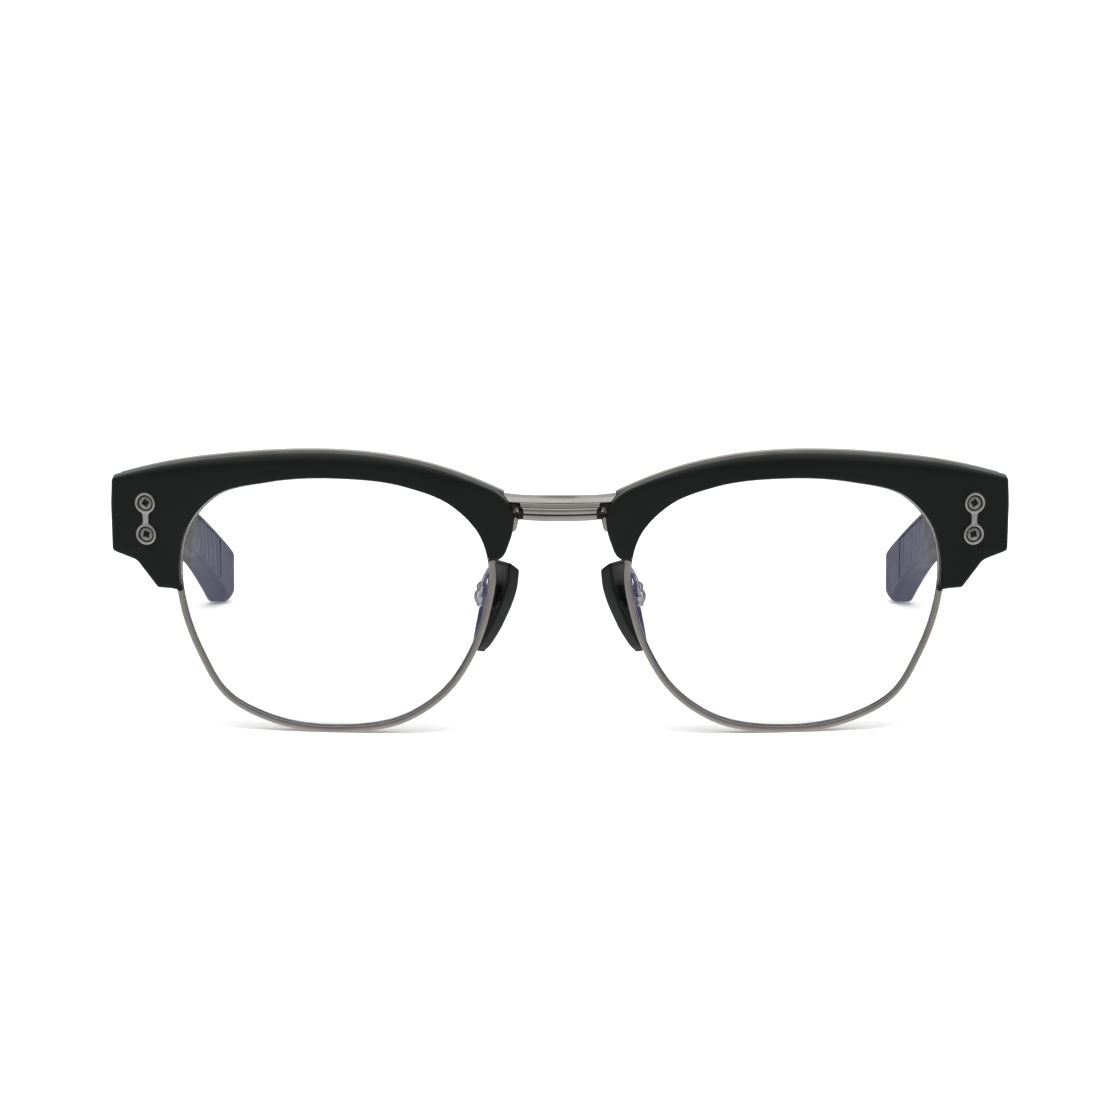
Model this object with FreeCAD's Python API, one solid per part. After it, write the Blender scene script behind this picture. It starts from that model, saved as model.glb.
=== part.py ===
import FreeCAD, Part
import math
import os

# Half rim (browline) eyeglasses, millimetres.
#
# The glasses stand open on a table: +Z is up, the front faces -Y, the temples run towards +Y and
# X = 0 is the plane of symmetry.  The wearer's left is at +X.  Every piece is modelled for the
# left side in a working frame whose Y = 0 is the foremost line of the front and whose Z = 0 is the
# table, then mirrored for the right side.  At the end everything moves so that the origin is at
# the bottom centre of the whole object's box.
#
# The front is wrapped on a vertical cylinder.  "depth" is the distance behind that cylinder's
# surface, measured along its radius.

V = FreeCAD.Vector

# ---- driving dimensions: front ----
WRAP_RADIUS = 260.0         # radius of the cylinder that the front follows
LENS_WIDTH = 50.5           # width of the opening inside the rim
LENS_HEIGHT = 41.0          # height of that opening
LENS_GAP = 22.8             # distance between the two openings
RIM_WIDTH = 1.0             # metal rim seen from the front
RIM_DEPTH = 2.9             # metal rim from front to back
GROOVE_WIDTH = 0.8          # lens groove along the depth
GROOVE_DEPTH = 0.55         # lens groove into the rim
LENS_THICKNESS = 1.9
LENS_CLEARANCE = 0.05       # lens to rim, all round and on both sides of its bevel
BROW_LIP = 1.45             # brow material in front of the rim
SEAT_CLEARANCE = 0.05       # brow to rim
LIP_REVEAL = 0.15           # how much of the rim shows inside the brow's lip
LIP_SHIFT = 0.2             # the lip's opening sits this much further out than the rim's
BROW_EDGE = 0.45            # rounding of the brow's front edges
BROW_END = 11.65            # brow beyond the lens opening, outwards
BROW_RISE = 4.15            # brow above the lens opening
BAR_THICKNESS = 1.0         # chassis bar behind the brow
BAR_PROUD = 0.25            # chassis bar above the brow's top edge
BAR_START = 9.1             # where the chassis bar meets the bridge
BAR_END = 1.6               # where its deep part ends, out past the lens opening
BAR_STRIP_INSET = 1.5       # its thin outer strip stops this far short of the brow's end
BAR_FOOT = 8.5              # how far it comes down, below the top of the lens opening

# ---- driving dimensions: bridge ----
BRIDGE_HALF = 6.7           # half length of the ridged part of the bar
BRIDGE_NECK = 7.3           # half length of the bar with its stepped ends
BRIDGE_TOP = 2.4            # bar's rear top edge, below the top of the lens opening
BRIDGE_BOTTOM = 6.3         # bar's underside, below the top of the lens opening
BRIDGE_FRONT = 0.45         # bar's front face behind the front line
LUG_FOOT = 8.1              # lugs' lower ends, below the top of the lens opening

# ---- driving dimensions: screws and plates on the front ----
RIVET_PITCH = 5.15          # distance between the two screws of a rivet plate
RIVET_OUT = 5.6             # rivet plate out past the lens opening
RIVET_DROP = 7.3            # middle of the rivet plate below the top of the lens opening
RING_RADIUS = 1.75
RING_BORE = 1.2
PLATE_NECK = 1.0
PLATE_PROUD = 0.35
PLATE_SUNK = 0.5
PLATE_GAP = 0.12            # dark gap around the plate in its pocket
HEAD_RADIUS = 1.12
HEAD_SUNK = 0.12            # screw head below the plate's face
SOCKET = 1.1                # square socket in the screw head
SCREW_RADIUS = 0.7
SMALL_SCREW_RADIUS = 0.5
SMALL_HEAD_RADIUS = 0.9
SMALL_HEAD_HEIGHT = 0.45

# ---- driving dimensions: hinge ----
LEAF_THICKNESS = 1.2
KNUCKLE_RADIUS = 1.9
KNUCKLE_HEIGHT = 1.6
KNUCKLE_COUNT = 5
KNUCKLE_GAP = 0.06          # between knuckles, along the pin
PIN_RADIUS = 0.6
PIN_CLEARANCE = 0.03        # running fit of the pin in the temple's knuckles
PIN_HEAD = 1.3
PIVOT_OUT = 4.9             # hinge axis out past the lens opening
PIVOT_BEHIND = 4.62         # hinge axis behind the brow's back face
HINGE_DROP = 7.25           # middle of the hinge below the top of the lens opening

# ---- driving dimensions: closing blocks of the rim ----
BLOCK_WIDTH = 2.3
BLOCK_HEIGHT = 3.6
BLOCK_DROP = 15.2           # middle of the closing blocks below the top of the opening
SLIT = 0.3
BLOCK_CLEARANCE = 0.15

# ---- driving dimensions: temple ----
TEMPLE_GAP = 0.99           # temple's front end behind the brow's back face
TEMPLE_END = 143.0          # tip of the temple
TIP_LENGTH = 43.0           # the part that bends down and inwards
BEND_TOP = 24.5             # top edge above the table where the bend starts
TEMPLE_THICKNESS = 4.3
TEMPLE_SPLAY = 0.0416       # inward slope of its outer face
TEMPLE_HOOK = 0.0026        # further inward curve of the tip
TEMPLE_ROOT = 10.1          # height at the hinge
TEMPLE_WAIST = 7.6          # height at the bend
TEMPLE_PADDLE = 9.9         # height at the tip
TEMPLE_ROUND = 1.15
SIDE_PLATE_THICKNESS = 0.4
SIDE_PLATE_LENGTH = 29.0
DOME_RADIUS = 1.2
DOME_PROUD = 0.5
CORE_THICKNESS = 1.0
CORE_HEIGHT = 2.4
LEAF_DEPTH = 1.0            # hinge leaf let into the temple
LEAF_LENGTH = 15.0
LEAF_HEIGHT = 6.4
INLAY_LENGTH = 30.0
INLAY_SUNK = 0.35
INLAY_THICKNESS = 0.6
INLAY_BORDER = 1.9

# ---- driving dimensions: nose pads ----
PAD_NARROW = 6.7            # half gap between the pads at their tops
PAD_THICKNESS = 1.9
PAD_WIDTH = 7.0
PAD_ANGLE = 28.0            # pad's turn away from the plane of symmetry
PAD_FRONT = 5.4             # front edge of the pad behind the front line
PAD_TOP = 15.0              # top of the pad below the top of the lens opening
BARREL_RADIUS = 1.05
BARREL_HEIGHT = 2.2
BARREL_OFFSET = 2.0         # pin axis away from the pad's outer face
EAR_THICKNESS = 0.6
EAR_GAP = 0.05
PAD_PIN_RADIUS = 0.4
PAD_PIN_CLEARANCE = 0.03
ARM_WIRE_RADIUS = 0.45
KEEP_CLEAR = 1.75           # arm wire's line in front of the pin axis, clear of the fork's ears

# ---- derived places ----
NASAL = LENS_GAP / 2.0                      # inner edge of the opening
TEMPORAL = NASAL + LENS_WIDTH               # outer edge of the opening
MIDDLE = NASAL + LENS_WIDTH / 2.0
BOTTOM = RIM_WIDTH                          # the rim's foot stands on the table
TOP = BOTTOM + LENS_HEIGHT
RIM_FRONT = BROW_LIP + SEAT_CLEARANCE       # depth of the rim's front face
BROW_BACK = RIM_FRONT + RIM_DEPTH           # brow, rim and chassis bar share this surface
GROOVE_START = RIM_FRONT + (RIM_DEPTH - GROOVE_WIDTH) / 2.0
HINGE_Z = TOP - HINGE_DROP
TEMPLE_BEND = TEMPLE_END - TIP_LENGTH
PIVOT_X = TEMPORAL + PIVOT_OUT
BROW_EDGE_X = TEMPORAL + BROW_END


def behind_brow(x):
    """Y of the brow's back face at a distance from the plane of symmetry."""
    return WRAP_RADIUS - math.sqrt((WRAP_RADIUS - BROW_BACK) ** 2 - x * x)


PIVOT_BACK = behind_brow(PIVOT_X) + PIVOT_BEHIND
TEMPLE_START = behind_brow(BROW_EDGE_X) + TEMPLE_GAP
TEMPLE_FACE = BROW_EDGE_X + 0.2             # outer face of the temple at its front end
REACH = 60.0                                # long enough to cut through anything


# ---- curves and layers of the front ----

def spline(points, closed=False):
    """A smooth curve through the points."""
    curve = Part.BSplineCurve()
    curve.interpolate(Points=points, PeriodicFlag=closed)
    return curve


def lens_points():
    """The opening inside the rim: its width and height times a unit outline."""
    unit = [(-0.02, -1.0), (0.41, -0.934), (0.695, -0.752), (0.865, -0.42), (0.969, -0.07),
            (1.0, 0.293), (0.947, 0.58), (0.778, 0.828), (0.418, 0.961), (-0.03, 1.0),
            (-0.457, 0.941), (-0.762, 0.79), (-0.935, 0.565), (-1.0, 0.26), (-0.968, -0.024),
            (-0.877, -0.356), (-0.705, -0.683), (-0.453, -0.902)]
    middle_z = BOTTOM + LENS_HEIGHT / 2.0
    return [V(MIDDLE + a * LENS_WIDTH / 2.0, 0, middle_z + b * LENS_HEIGHT / 2.0) for a, b in unit]


def lens_curve(offset, shift=0.0):
    """The opening's outline, grown by an offset and moved sideways."""
    base = spline(lens_points(), closed=True)
    steps = 40
    grown = []
    for i in range(steps):
        at = base.FirstParameter + (base.LastParameter - base.FirstParameter) * i / steps
        point = base.value(at)
        along = base.tangent(at)[0]
        outwards = V(along.z, 0, -along.x)
        if outwards.dot(point - V(MIDDLE, 0, (BOTTOM + TOP) / 2.0)) < 0:
            outwards = outwards.negative()
        grown.append(point + outwards * offset + V(shift, 0, 0))
    return spline(grown, closed=True)


def prism(edges):
    """A closed outline in the XZ plane, extended through the whole depth of the front."""
    face = Part.Face(Part.Wire(edges))
    face.translate(V(0, -REACH / 2.0, 0))
    return face.extrude(V(0, 2 * REACH, 0))


def lens_prism(offset, shift=0.0):
    return prism([lens_curve(offset, shift).toShape()])


def wrap(depth):
    """The solid cylinder whose surface lies at a depth behind the front."""
    return Part.makeCylinder(WRAP_RADIUS - depth, 3 * REACH, V(0, WRAP_RADIUS, -REACH), V(0, 0, 1))


def layer(shape, near, far):
    """The part of a shape between two depths."""
    return shape.common(wrap(near)).cut(wrap(far))


def wrap_angle(x):
    return math.asin(x / WRAP_RADIUS)


def on_front(shape, x, z, depth=0.0, turn=0.0):
    """Place a shape on the wrapped front: its Z points out of the face, its Y points up."""
    angle = wrap_angle(x)
    radius = WRAP_RADIUS - depth
    spot = V(radius * math.sin(angle), WRAP_RADIUS - radius * math.cos(angle), z)
    placed = shape.copy()
    placed.rotate(V(0, 0, 0), V(0, 0, 1), turn)
    placed.rotate(V(0, 0, 0), V(1, 0, 0), 90)
    placed.rotate(V(0, 0, 0), V(0, 0, 1), math.degrees(angle))
    placed.translate(spot)
    return placed


def box(x0, x1, y0, y1, z0, z1):
    return Part.makeBox(x1 - x0, y1 - y0, z1 - z0, V(x0, y0, z0))


def rod(radius, start, end):
    return Part.makeCylinder(radius, (end - start).Length, start, end - start)


def line(a, b):
    return Part.LineSegment(a, b).toShape()


def arc(a, through, b):
    return Part.Arc(a, through, b).toShape()


def corner(before, point, after, radius):
    """The three points of an arc that rounds a corner between two straight lines."""
    u = (before - point).normalize()
    v = (after - point).normalize()
    half = u.getAngle(v) / 2.0
    reach = radius / math.tan(half)
    middle = (u + v).normalize() * (radius / math.sin(half) - radius)
    return point + u * reach, point + middle, point + v * reach


def rounded(points, radii):
    """The edges of an open run of straight lines with rounded corners between them."""
    edges = []
    last = points[0]
    for i in range(1, len(points) - 1):
        a, m, b = corner(points[i - 1], points[i], points[i + 1], radii[i - 1])
        edges += [line(last, a), arc(a, m, b)]
        last = b
    edges.append(line(last, points[-1]))
    return edges


# ---- front: brow, rim, lens, chassis bar, bridge ----

def brow_top(lift=0.0):
    """The brow's top edge from the outer end to the inner end."""
    places = [(TEMPORAL + BROW_END - 0.7, -0.72), (TEMPORAL + 2.0, BROW_RISE - 2.5),
              (MIDDLE + 0.69 * LENS_WIDTH / 2.0, BROW_RISE - 1.0),
              (MIDDLE + 0.30 * LENS_WIDTH / 2.0, BROW_RISE - 0.12),
              (MIDDLE - 0.03 * LENS_WIDTH / 2.0, BROW_RISE),
              (MIDDLE - 0.38 * LENS_WIDTH / 2.0, BROW_RISE - 0.8),
              (MIDDLE - 0.70 * LENS_WIDTH / 2.0, BROW_RISE - 2.6),
              (NASAL + 0.4, -1.1)]
    shares = [0.2, 0.6] + [1.0] * (len(places) - 2)
    return [V(x, 0, TOP + dz + lift * share) for (x, dz), share in zip(places, shares)]


def brow_outline():
    """Top edge, round nasal lobe, then below the lens opening to the stepped outer end."""
    top = brow_top()
    lobe = [top[-1], V(NASAL - 2.3, 0, TOP - 2.8), V(NASAL - 3.85, 0, TOP - 4.9),
            V(NASAL - 3.9, 0, TOP - 7.1), V(NASAL - 3.1, 0, TOP - 10.3),
            V(NASAL - 2.0, 0, TOP - 12.5), V(NASAL - 0.2, 0, TOP - 13.3)]
    outer = BROW_EDGE_X
    end = [V(TEMPORAL - 4.0, 0, TOP - 19.05), V(TEMPORAL + 3.95, 0, TOP - 18.7),
           V(TEMPORAL + 7.4, 0, TOP - 14.3), V(outer - 0.2, 0, TOP - 12.9),
           V(outer, 0, TOP - 5.0), V(outer - 0.15, 0, TOP - 1.6)]
    start = V(NASAL + 4.0, 0, TOP - 13.3)
    shoulder = arc(end[-1], V(outer - 0.29, 0, TOP - 1.0), top[0])
    edges = [spline(top).toShape(), spline(lobe).toShape(), line(lobe[-1], start), line(start, end[0])]
    return edges + rounded(end, [0.7, 2.2, 0.8, 3.0]) + [shoulder]


def on_surface(edge, depth):
    """Whether an edge lies on the wrapped surface at a depth."""
    for share in (0.1, 0.5, 0.9):
        at = edge.FirstParameter + (edge.LastParameter - edge.FirstParameter) * share
        point = edge.valueAt(at)
        if abs(math.hypot(point.x, point.y - WRAP_RADIUS) - (WRAP_RADIUS - depth)) > 0.001:
            return False
    return True


def rivet_pocket():
    """The recess for a rivet plate and the holes of its two screws, in the plate's own frame."""
    pocket = rivet_shape(RING_RADIUS + PLATE_GAP, PLATE_NECK + 2 * PLATE_GAP, -PLATE_SUNK, REACH / 10.0)
    for side in (-1, 1):
        y = side * RIVET_PITCH / 2.0
        pocket = pocket.fuse(rod(SCREW_RADIUS, V(0, y, -BROW_BACK - 1.0), V(0, y, 1)))
    return pocket


def at_rivet(shape):
    return on_front(shape, TEMPORAL + RIVET_OUT, TOP - RIVET_DROP)


def brow():
    body = layer(prism(brow_outline()), 0.0, BROW_BACK)
    body = body.makeFillet(BROW_EDGE, [e for e in body.Edges if on_surface(e, 0.0)])
    body = body.cut(lens_prism(LIP_REVEAL, LIP_SHIFT))
    seat = lens_prism(RIM_WIDTH + SEAT_CLEARANCE).common(wrap(BROW_LIP))
    body = body.cut(seat)
    body = body.cut(grown_block().common(wrap(RIM_FRONT - SEAT_CLEARANCE)))
    body = body.cut(at_rivet(rivet_pocket()))
    for hole in brow_screw_list():
        body = body.cut(hole)
    return largest(body)


def largest(shape):
    """Drop crumbs that a cut leaves inside the opening."""
    return max(shape.Solids, key=lambda solid: solid.Volume)


def block(grow=0.0):
    """The closing blocks as one box, beside the rim on its outer side."""
    z = TOP - BLOCK_DROP
    return box(TEMPORAL - 0.5 - grow, TEMPORAL + RIM_WIDTH + BLOCK_WIDTH + grow, -REACH, REACH,
               z - BLOCK_HEIGHT / 2.0 - grow, z + BLOCK_HEIGHT / 2.0 + grow)


def grown_block():
    return block(BLOCK_CLEARANCE)


def closing_axis():
    """The closing screw's line, in the middle of the blocks."""
    angle = wrap_angle(TEMPORAL + RIM_WIDTH + BLOCK_WIDTH / 2.0)
    radius = WRAP_RADIUS - RIM_FRONT - RIM_DEPTH * 0.55
    return radius * math.sin(angle), WRAP_RADIUS - radius * math.cos(angle)


def closing_screw(socket=True):
    x, y = closing_axis()
    z = TOP - BLOCK_DROP
    foot = z - BLOCK_HEIGHT / 2.0 + 0.3
    head = z + BLOCK_HEIGHT / 2.0
    screw = rod(SMALL_SCREW_RADIUS, V(x, y, foot), V(x, y, head))
    screw = screw.fuse(rod(SMALL_HEAD_RADIUS * 0.9, V(x, y, head - 0.5), V(x, y, head + 0.1)))
    if socket:
        slot = box(x - 1.5, x + 1.5, y - 0.12, y + 0.12, head - 0.2, head + 1.0)
        screw = screw.cut(slot)
    return screw


def rim():
    ring = lens_prism(RIM_WIDTH).cut(lens_prism(0.0))
    ring = ring.fuse(block().cut(lens_prism(RIM_WIDTH / 2.0)))
    ring = layer(ring, RIM_FRONT, BROW_BACK)
    groove = layer(lens_prism(GROOVE_DEPTH), GROOVE_START, GROOVE_START + GROOVE_WIDTH)
    ring = ring.cut(groove)
    z = TOP - BLOCK_DROP
    ring = ring.cut(box(TEMPORAL - 4.0, TEMPORAL + 8.0, -REACH, REACH, z - SLIT / 2.0, z + SLIT / 2.0))
    return ring.cut(closing_screw(socket=False))


def lens():
    middle = GROOVE_START + GROOVE_WIDTH / 2.0
    near = middle - LENS_THICKNESS / 2.0
    plate = layer(lens_prism(-LENS_CLEARANCE), near, near + LENS_THICKNESS)
    bevel = layer(lens_prism(GROOVE_DEPTH - LENS_CLEARANCE), GROOVE_START + LENS_CLEARANCE,
                  GROOVE_START + GROOVE_WIDTH - LENS_CLEARANCE)
    return plate.fuse(bevel).removeSplitter()


def chassis_bar():
    """A strip behind the brow, brazed to the rim's back: deep over the lens, thin over the hinge."""
    top = brow_top(BAR_PROUD)
    foot = TOP - BAR_FOOT
    outline = [spline(top).toShape(), line(top[-1], V(BAR_START - 3.0, 0, top[-1].z - 1.6)),
               line(V(BAR_START - 3.0, 0, top[-1].z - 1.6), V(BAR_START - 3.0, 0, foot)),
               line(V(BAR_START - 3.0, 0, foot), V(top[0].x, 0, foot)),
               line(V(top[0].x, 0, foot), top[0])]
    step = TEMPORAL + BAR_END
    over_hinge = knuckle_span(KNUCKLE_COUNT - 1)[1] + 0.2
    space = box(BAR_START, step, -REACH, REACH, 0, 3 * REACH)
    space = space.fuse(box(step - 1.0, BROW_EDGE_X - BAR_STRIP_INSET, -REACH, REACH, over_hinge, 3 * REACH))
    bar = prism(outline).common(space)
    bar = layer(bar.cut(lens_prism(0.1)), BROW_BACK, BROW_BACK + BAR_THICKNESS)
    for hole in brow_screw_list():
        bar = bar.cut(hole)
    return largest(bar)


def brow_screw_list():
    """Two small screws that hold the brow to the chassis bar, driven from behind."""
    screws = []
    for x, dz in ((MIDDLE - 0.60 * LENS_WIDTH / 2.0, 1.05), (MIDDLE + 0.66 * LENS_WIDTH / 2.0, 1.25)):
        seat = -BROW_BACK - BAR_THICKNESS
        screw = rod(SMALL_SCREW_RADIUS, V(0, 0, -RIM_FRONT - 0.6), V(0, 0, seat))
        head = rod(SMALL_HEAD_RADIUS, V(0, 0, seat), V(0, 0, seat - SMALL_HEAD_HEIGHT))
        screws.append(on_front(screw.fuse(head), x, TOP + dz))
    return screws


def bridge():
    """The ridged bar, its stepped ends, and the plate behind it that joins the chassis bars."""
    top = TOP - BRIDGE_TOP
    low = TOP - BRIDGE_BOTTOM
    face = BRIDGE_FRONT
    back = BROW_BACK + BAR_THICKNESS * 0.6
    rise = top - low
    third = rise / 4.0
    profile = [(back, top), (face + 0.35, low + 3 * third), (face, low + 3 * third - 0.15),
               (face, low + 2 * third + 0.12), (face + 0.18, low + 2 * third),
               (face + 0.02, low + 2 * third - 0.15), (face - 0.12, low + 1.5 * third),
               (face + 0.05, low + third + 0.15), (face + 0.25, low + third),
               (face + 0.05, low + third - 0.15), (face + 0.05, low + 0.15), (face + 0.2, low),
               (back, low)]
    corners = [V(-BRIDGE_HALF, y, z) for y, z in profile]
    bar = Part.Face(Part.makePolygon(corners + [corners[0]])).extrude(V(2 * BRIDGE_HALF, 0, 0))
    neck = box(-BRIDGE_NECK, BRIDGE_NECK, face + 0.6, back, low + 0.5, low + 3 * third)
    foot = TOP - LUG_FOOT
    edge = BAR_START
    outline = [V(-edge, 0, top + 0.1), V(edge, 0, top + 0.1), V(edge, 0, foot), V(BRIDGE_HALF, 0, foot),
               V(BRIDGE_HALF - 1.3, 0, low + 0.4), V(1.3 - BRIDGE_HALF, 0, low + 0.4),
               V(-BRIDGE_HALF, 0, foot), V(-edge, 0, foot)]
    plate_edges = rounded(outline[1:] + [outline[0]], [0.02, 0.9, 0.6, 0.6, 0.9, 0.02])
    plate = prism(plate_edges + [line(outline[0], outline[1])])
    plate = plate.common(wrap(BROW_BACK)).cut(wrap(BROW_BACK + BAR_THICKNESS))
    return bar.fuse(neck).fuse(plate).removeSplitter()


# ---- rivet plate and its screws ----

def rivet_shape(radius, neck, low, high):
    """Two rings' outline and the neck between them, between two heights."""
    half = RIVET_PITCH / 2.0
    shape = box(-neck / 2.0, neck / 2.0, -half, half, low, high)
    for side in (-1, 1):
        shape = shape.fuse(rod(radius, V(0, side * half, low), V(0, side * half, high)))
    return shape


def rivet_plate():
    plate = rivet_shape(RING_RADIUS, PLATE_NECK, -PLATE_SUNK, PLATE_PROUD)
    for side in (-1, 1):
        y = side * RIVET_PITCH / 2.0
        plate = plate.cut(rod(RING_BORE, V(0, y, -PLATE_SUNK + 0.15), V(0, y, 2)))
        plate = plate.cut(rod(SCREW_RADIUS, V(0, y, -2), V(0, y, 2)))
    return at_rivet(plate)


def plate_screws():
    solids = []
    for side, turn in ((-1, 12.0), (1, 33.0)):
        y = side * RIVET_PITCH / 2.0
        seat = -PLATE_SUNK + 0.15
        head = rod(HEAD_RADIUS, V(0, y, seat), V(0, y, PLATE_PROUD - HEAD_SUNK))
        shank = rod(SCREW_RADIUS, V(0, y, seat), V(0, y, -BROW_BACK - LEAF_THICKNESS))
        half = SOCKET / 2.0
        socket = box(-half, half, -half, half, PLATE_PROUD - HEAD_SUNK - 0.4, 2)
        socket.rotate(V(0, 0, 0), V(0, 0, 1), turn)
        socket.translate(V(0, y, 0))
        solids.append(at_rivet(head.fuse(shank).cut(socket)))
    return Part.Compound(solids)


# ---- hinge ----

def knuckle_span(index):
    pitch = KNUCKLE_HEIGHT + KNUCKLE_GAP
    low = HINGE_Z - (KNUCKLE_COUNT * pitch - KNUCKLE_GAP) / 2.0 + index * pitch
    return low, low + KNUCKLE_HEIGHT


def knuckles(indexes, bore, web):
    """Knuckles on the hinge axis, each with a web to its leaf."""
    shape = None
    for index in indexes:
        low, high = knuckle_span(index)
        ring = rod(KNUCKLE_RADIUS, V(PIVOT_X, PIVOT_BACK, low), V(PIVOT_X, PIVOT_BACK, high))
        ring = ring.fuse(web(low, high))
        ring = ring.cut(rod(bore, V(PIVOT_X, PIVOT_BACK, low - 1), V(PIVOT_X, PIVOT_BACK, high + 1)))
        shape = ring if shape is None else shape.fuse(ring)
    return shape


def hinge_front_leaf():
    low = knuckle_span(0)[0] + 0.1
    high = knuckle_span(KNUCKLE_COUNT - 1)[1] - 0.1
    inner = TEMPORAL + BAR_END + 0.1
    outer = BROW_EDGE_X - 1.8
    plate = layer(box(inner, outer, -REACH, REACH, low, high), BROW_BACK, BROW_BACK + LEAF_THICKNESS)

    def web(z0, z1):
        block_shape = box(PIVOT_X - 1.5, PIVOT_X + 1.5, 0, PIVOT_BACK, z0, z1)
        return block_shape.common(wrap(BROW_BACK + 0.2))

    shape = plate.fuse(knuckles(range(1, KNUCKLE_COUNT, 2), PIN_RADIUS, web))
    for side in (-1, 1):
        y = side * RIVET_PITCH / 2.0
        shape = shape.cut(at_rivet(rod(SCREW_RADIUS, V(0, y, -REACH / 6.0), V(0, y, 1))))
    return shape.removeSplitter()


def hinge_pin():
    low = knuckle_span(0)[0] + 0.2
    high = knuckle_span(KNUCKLE_COUNT - 1)[1]
    foot = V(PIVOT_X, PIVOT_BACK, low)
    seat = V(PIVOT_X, PIVOT_BACK, high + KNUCKLE_GAP)
    pin = rod(PIN_RADIUS, foot, seat).fuse(rod(PIN_HEAD, seat, seat + V(0, 0, 0.5)))
    slot = box(PIVOT_X - 2, PIVOT_X + 2, PIVOT_BACK - 0.15, PIVOT_BACK + 0.15, seat.z + 0.25, seat.z + 1)
    return pin.cut(slot)


def temple_inner(y):
    return temple_face(y) - TEMPLE_THICKNESS


def hinge_temple_leaf():
    """Three knuckles on a plate that is let into the temple's inner face."""
    start = TEMPLE_START + 0.4
    plate = plan_layer(TEMPLE_THICKNESS - LEAF_DEPTH, TEMPLE_THICKNESS, start, start + LEAF_LENGTH)
    plate = plate.common(temple_strip(LEAF_HEIGHT, start, start + LEAF_LENGTH))
    wall = plan_layer(TEMPLE_THICKNESS - LEAF_DEPTH, TEMPLE_THICKNESS, start, start + 3.4)

    def web(z0, z1):
        block_shape = box(PIVOT_X, temple_inner(TEMPLE_START) + 0.1, PIVOT_BACK - 1.3, PIVOT_BACK + 1.6, z0, z1)
        foot = wall.common(box(0, 200, -REACH, REACH, z0, z1))
        return block_shape.fuse(foot)

    indexes = range(0, KNUCKLE_COUNT, 2)
    shape = plate.fuse(knuckles(indexes, PIN_RADIUS + PIN_CLEARANCE, web))
    return shape.cut(leaf_screw_shape()).removeSplitter()


# ---- temple ----

def temple_face(y):
    """X of the temple's outer face: straight, then curving inwards behind the bend."""
    past = max(0.0, y - TEMPLE_BEND)
    return TEMPLE_FACE - TEMPLE_SPLAY * (y - TEMPLE_START) - TEMPLE_HOOK * past * past


def plan_layer(near, far, start, end):
    """A layer between two depths below the temple's outer face, full height."""
    count = 9
    steps = [start + (end - start) * i / (count - 1) for i in range(count)]
    outer = [V(temple_face(y) - near, y, -REACH / 6.0) for y in steps]
    inner = [V(temple_face(y) - far, y, -REACH / 6.0) for y in steps]
    edges = [spline(outer).toShape(), line(outer[-1], inner[-1]), spline(inner).toShape(),
             line(inner[0], outer[0])]
    return Part.Face(Part.Wire(Part.__sortEdges__(edges))).extrude(V(0, 0, REACH * 1.3))


def temple_edges():
    """The side view of the temple as (y, z): its top edge and its bottom edge."""
    root = HINGE_Z + 0.35
    high = root + TEMPLE_ROOT / 2.0
    low = root - TEMPLE_ROOT / 2.0
    waist_low = BEND_TOP - TEMPLE_WAIST
    half = (TEMPLE_START + TEMPLE_BEND) / 2.0
    top = [(TEMPLE_START, high), (half, (high + BEND_TOP) / 2.0 + 0.25), (TEMPLE_BEND, BEND_TOP),
           (TEMPLE_END - 22.5, TEMPLE_PADDLE + 9.1), (TEMPLE_END - 1.6, TEMPLE_PADDLE)]
    bottom = [(TEMPLE_START, low), (half, (low + waist_low) / 2.0 + 0.1), (TEMPLE_BEND, waist_low),
              (TEMPLE_END - 25.0, 11.5), (TEMPLE_END - 16.0, 7.7), (TEMPLE_END - 4.0, 0.31)]
    return top, bottom


def side_prism(edges):
    """A closed outline in the YZ plane, extended across the temple."""
    return Part.Face(Part.Wire(edges)).extrude(V(3 * REACH, 0, 0))


def temple_outline():
    top, bottom = temple_edges()
    upper = [V(0, y, z) for y, z in top]
    lower = [V(0, y, z) for y, z in bottom]
    end_high = V(0, TEMPLE_END, TEMPLE_PADDLE - 1.8)
    end_low = V(0, TEMPLE_END, 2.4)
    return [spline(upper).toShape(),
            arc(upper[-1], V(0, TEMPLE_END - 0.35, TEMPLE_PADDLE - 0.75), end_high),
            line(end_high, end_low), arc(end_low, V(0, TEMPLE_END - 1.1, 0.5), lower[-1]),
            spline(lower).toShape(), line(lower[0], upper[0])]


def middle_height(y):
    """Z of the temple's middle line."""
    top, bottom = temple_edges()
    pairs = [(a[0], (a[1] + b[1]) / 2.0) for a, b in zip(top[:3], bottom[:3])]
    pairs.append((TEMPLE_END - 20.0, 13.6))
    pairs.append((TEMPLE_END - 4.0, TEMPLE_PADDLE / 2.0 + 0.6))
    for (y0, z0), (y1, z1) in zip(pairs, pairs[1:]):
        if y <= y1:
            return z0 + (z1 - z0) * (y - y0) / (y1 - y0)
    return pairs[-1][1]


def temple_strip(height, start, end):
    """A band of constant height along the temple's middle line."""
    knees = (TEMPLE_BEND, TEMPLE_END - 20.0)
    stops = [start] + [y for y in knees if start < y < end] + [end]
    upper = [V(0, y, middle_height(y) + height / 2.0) for y in stops]
    lower = [V(0, y, middle_height(y) - height / 2.0) for y in reversed(stops)]
    ring = upper + lower + [upper[0]]
    return Part.Face(Part.makePolygon(ring)).extrude(V(3 * REACH, 0, 0))


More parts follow.
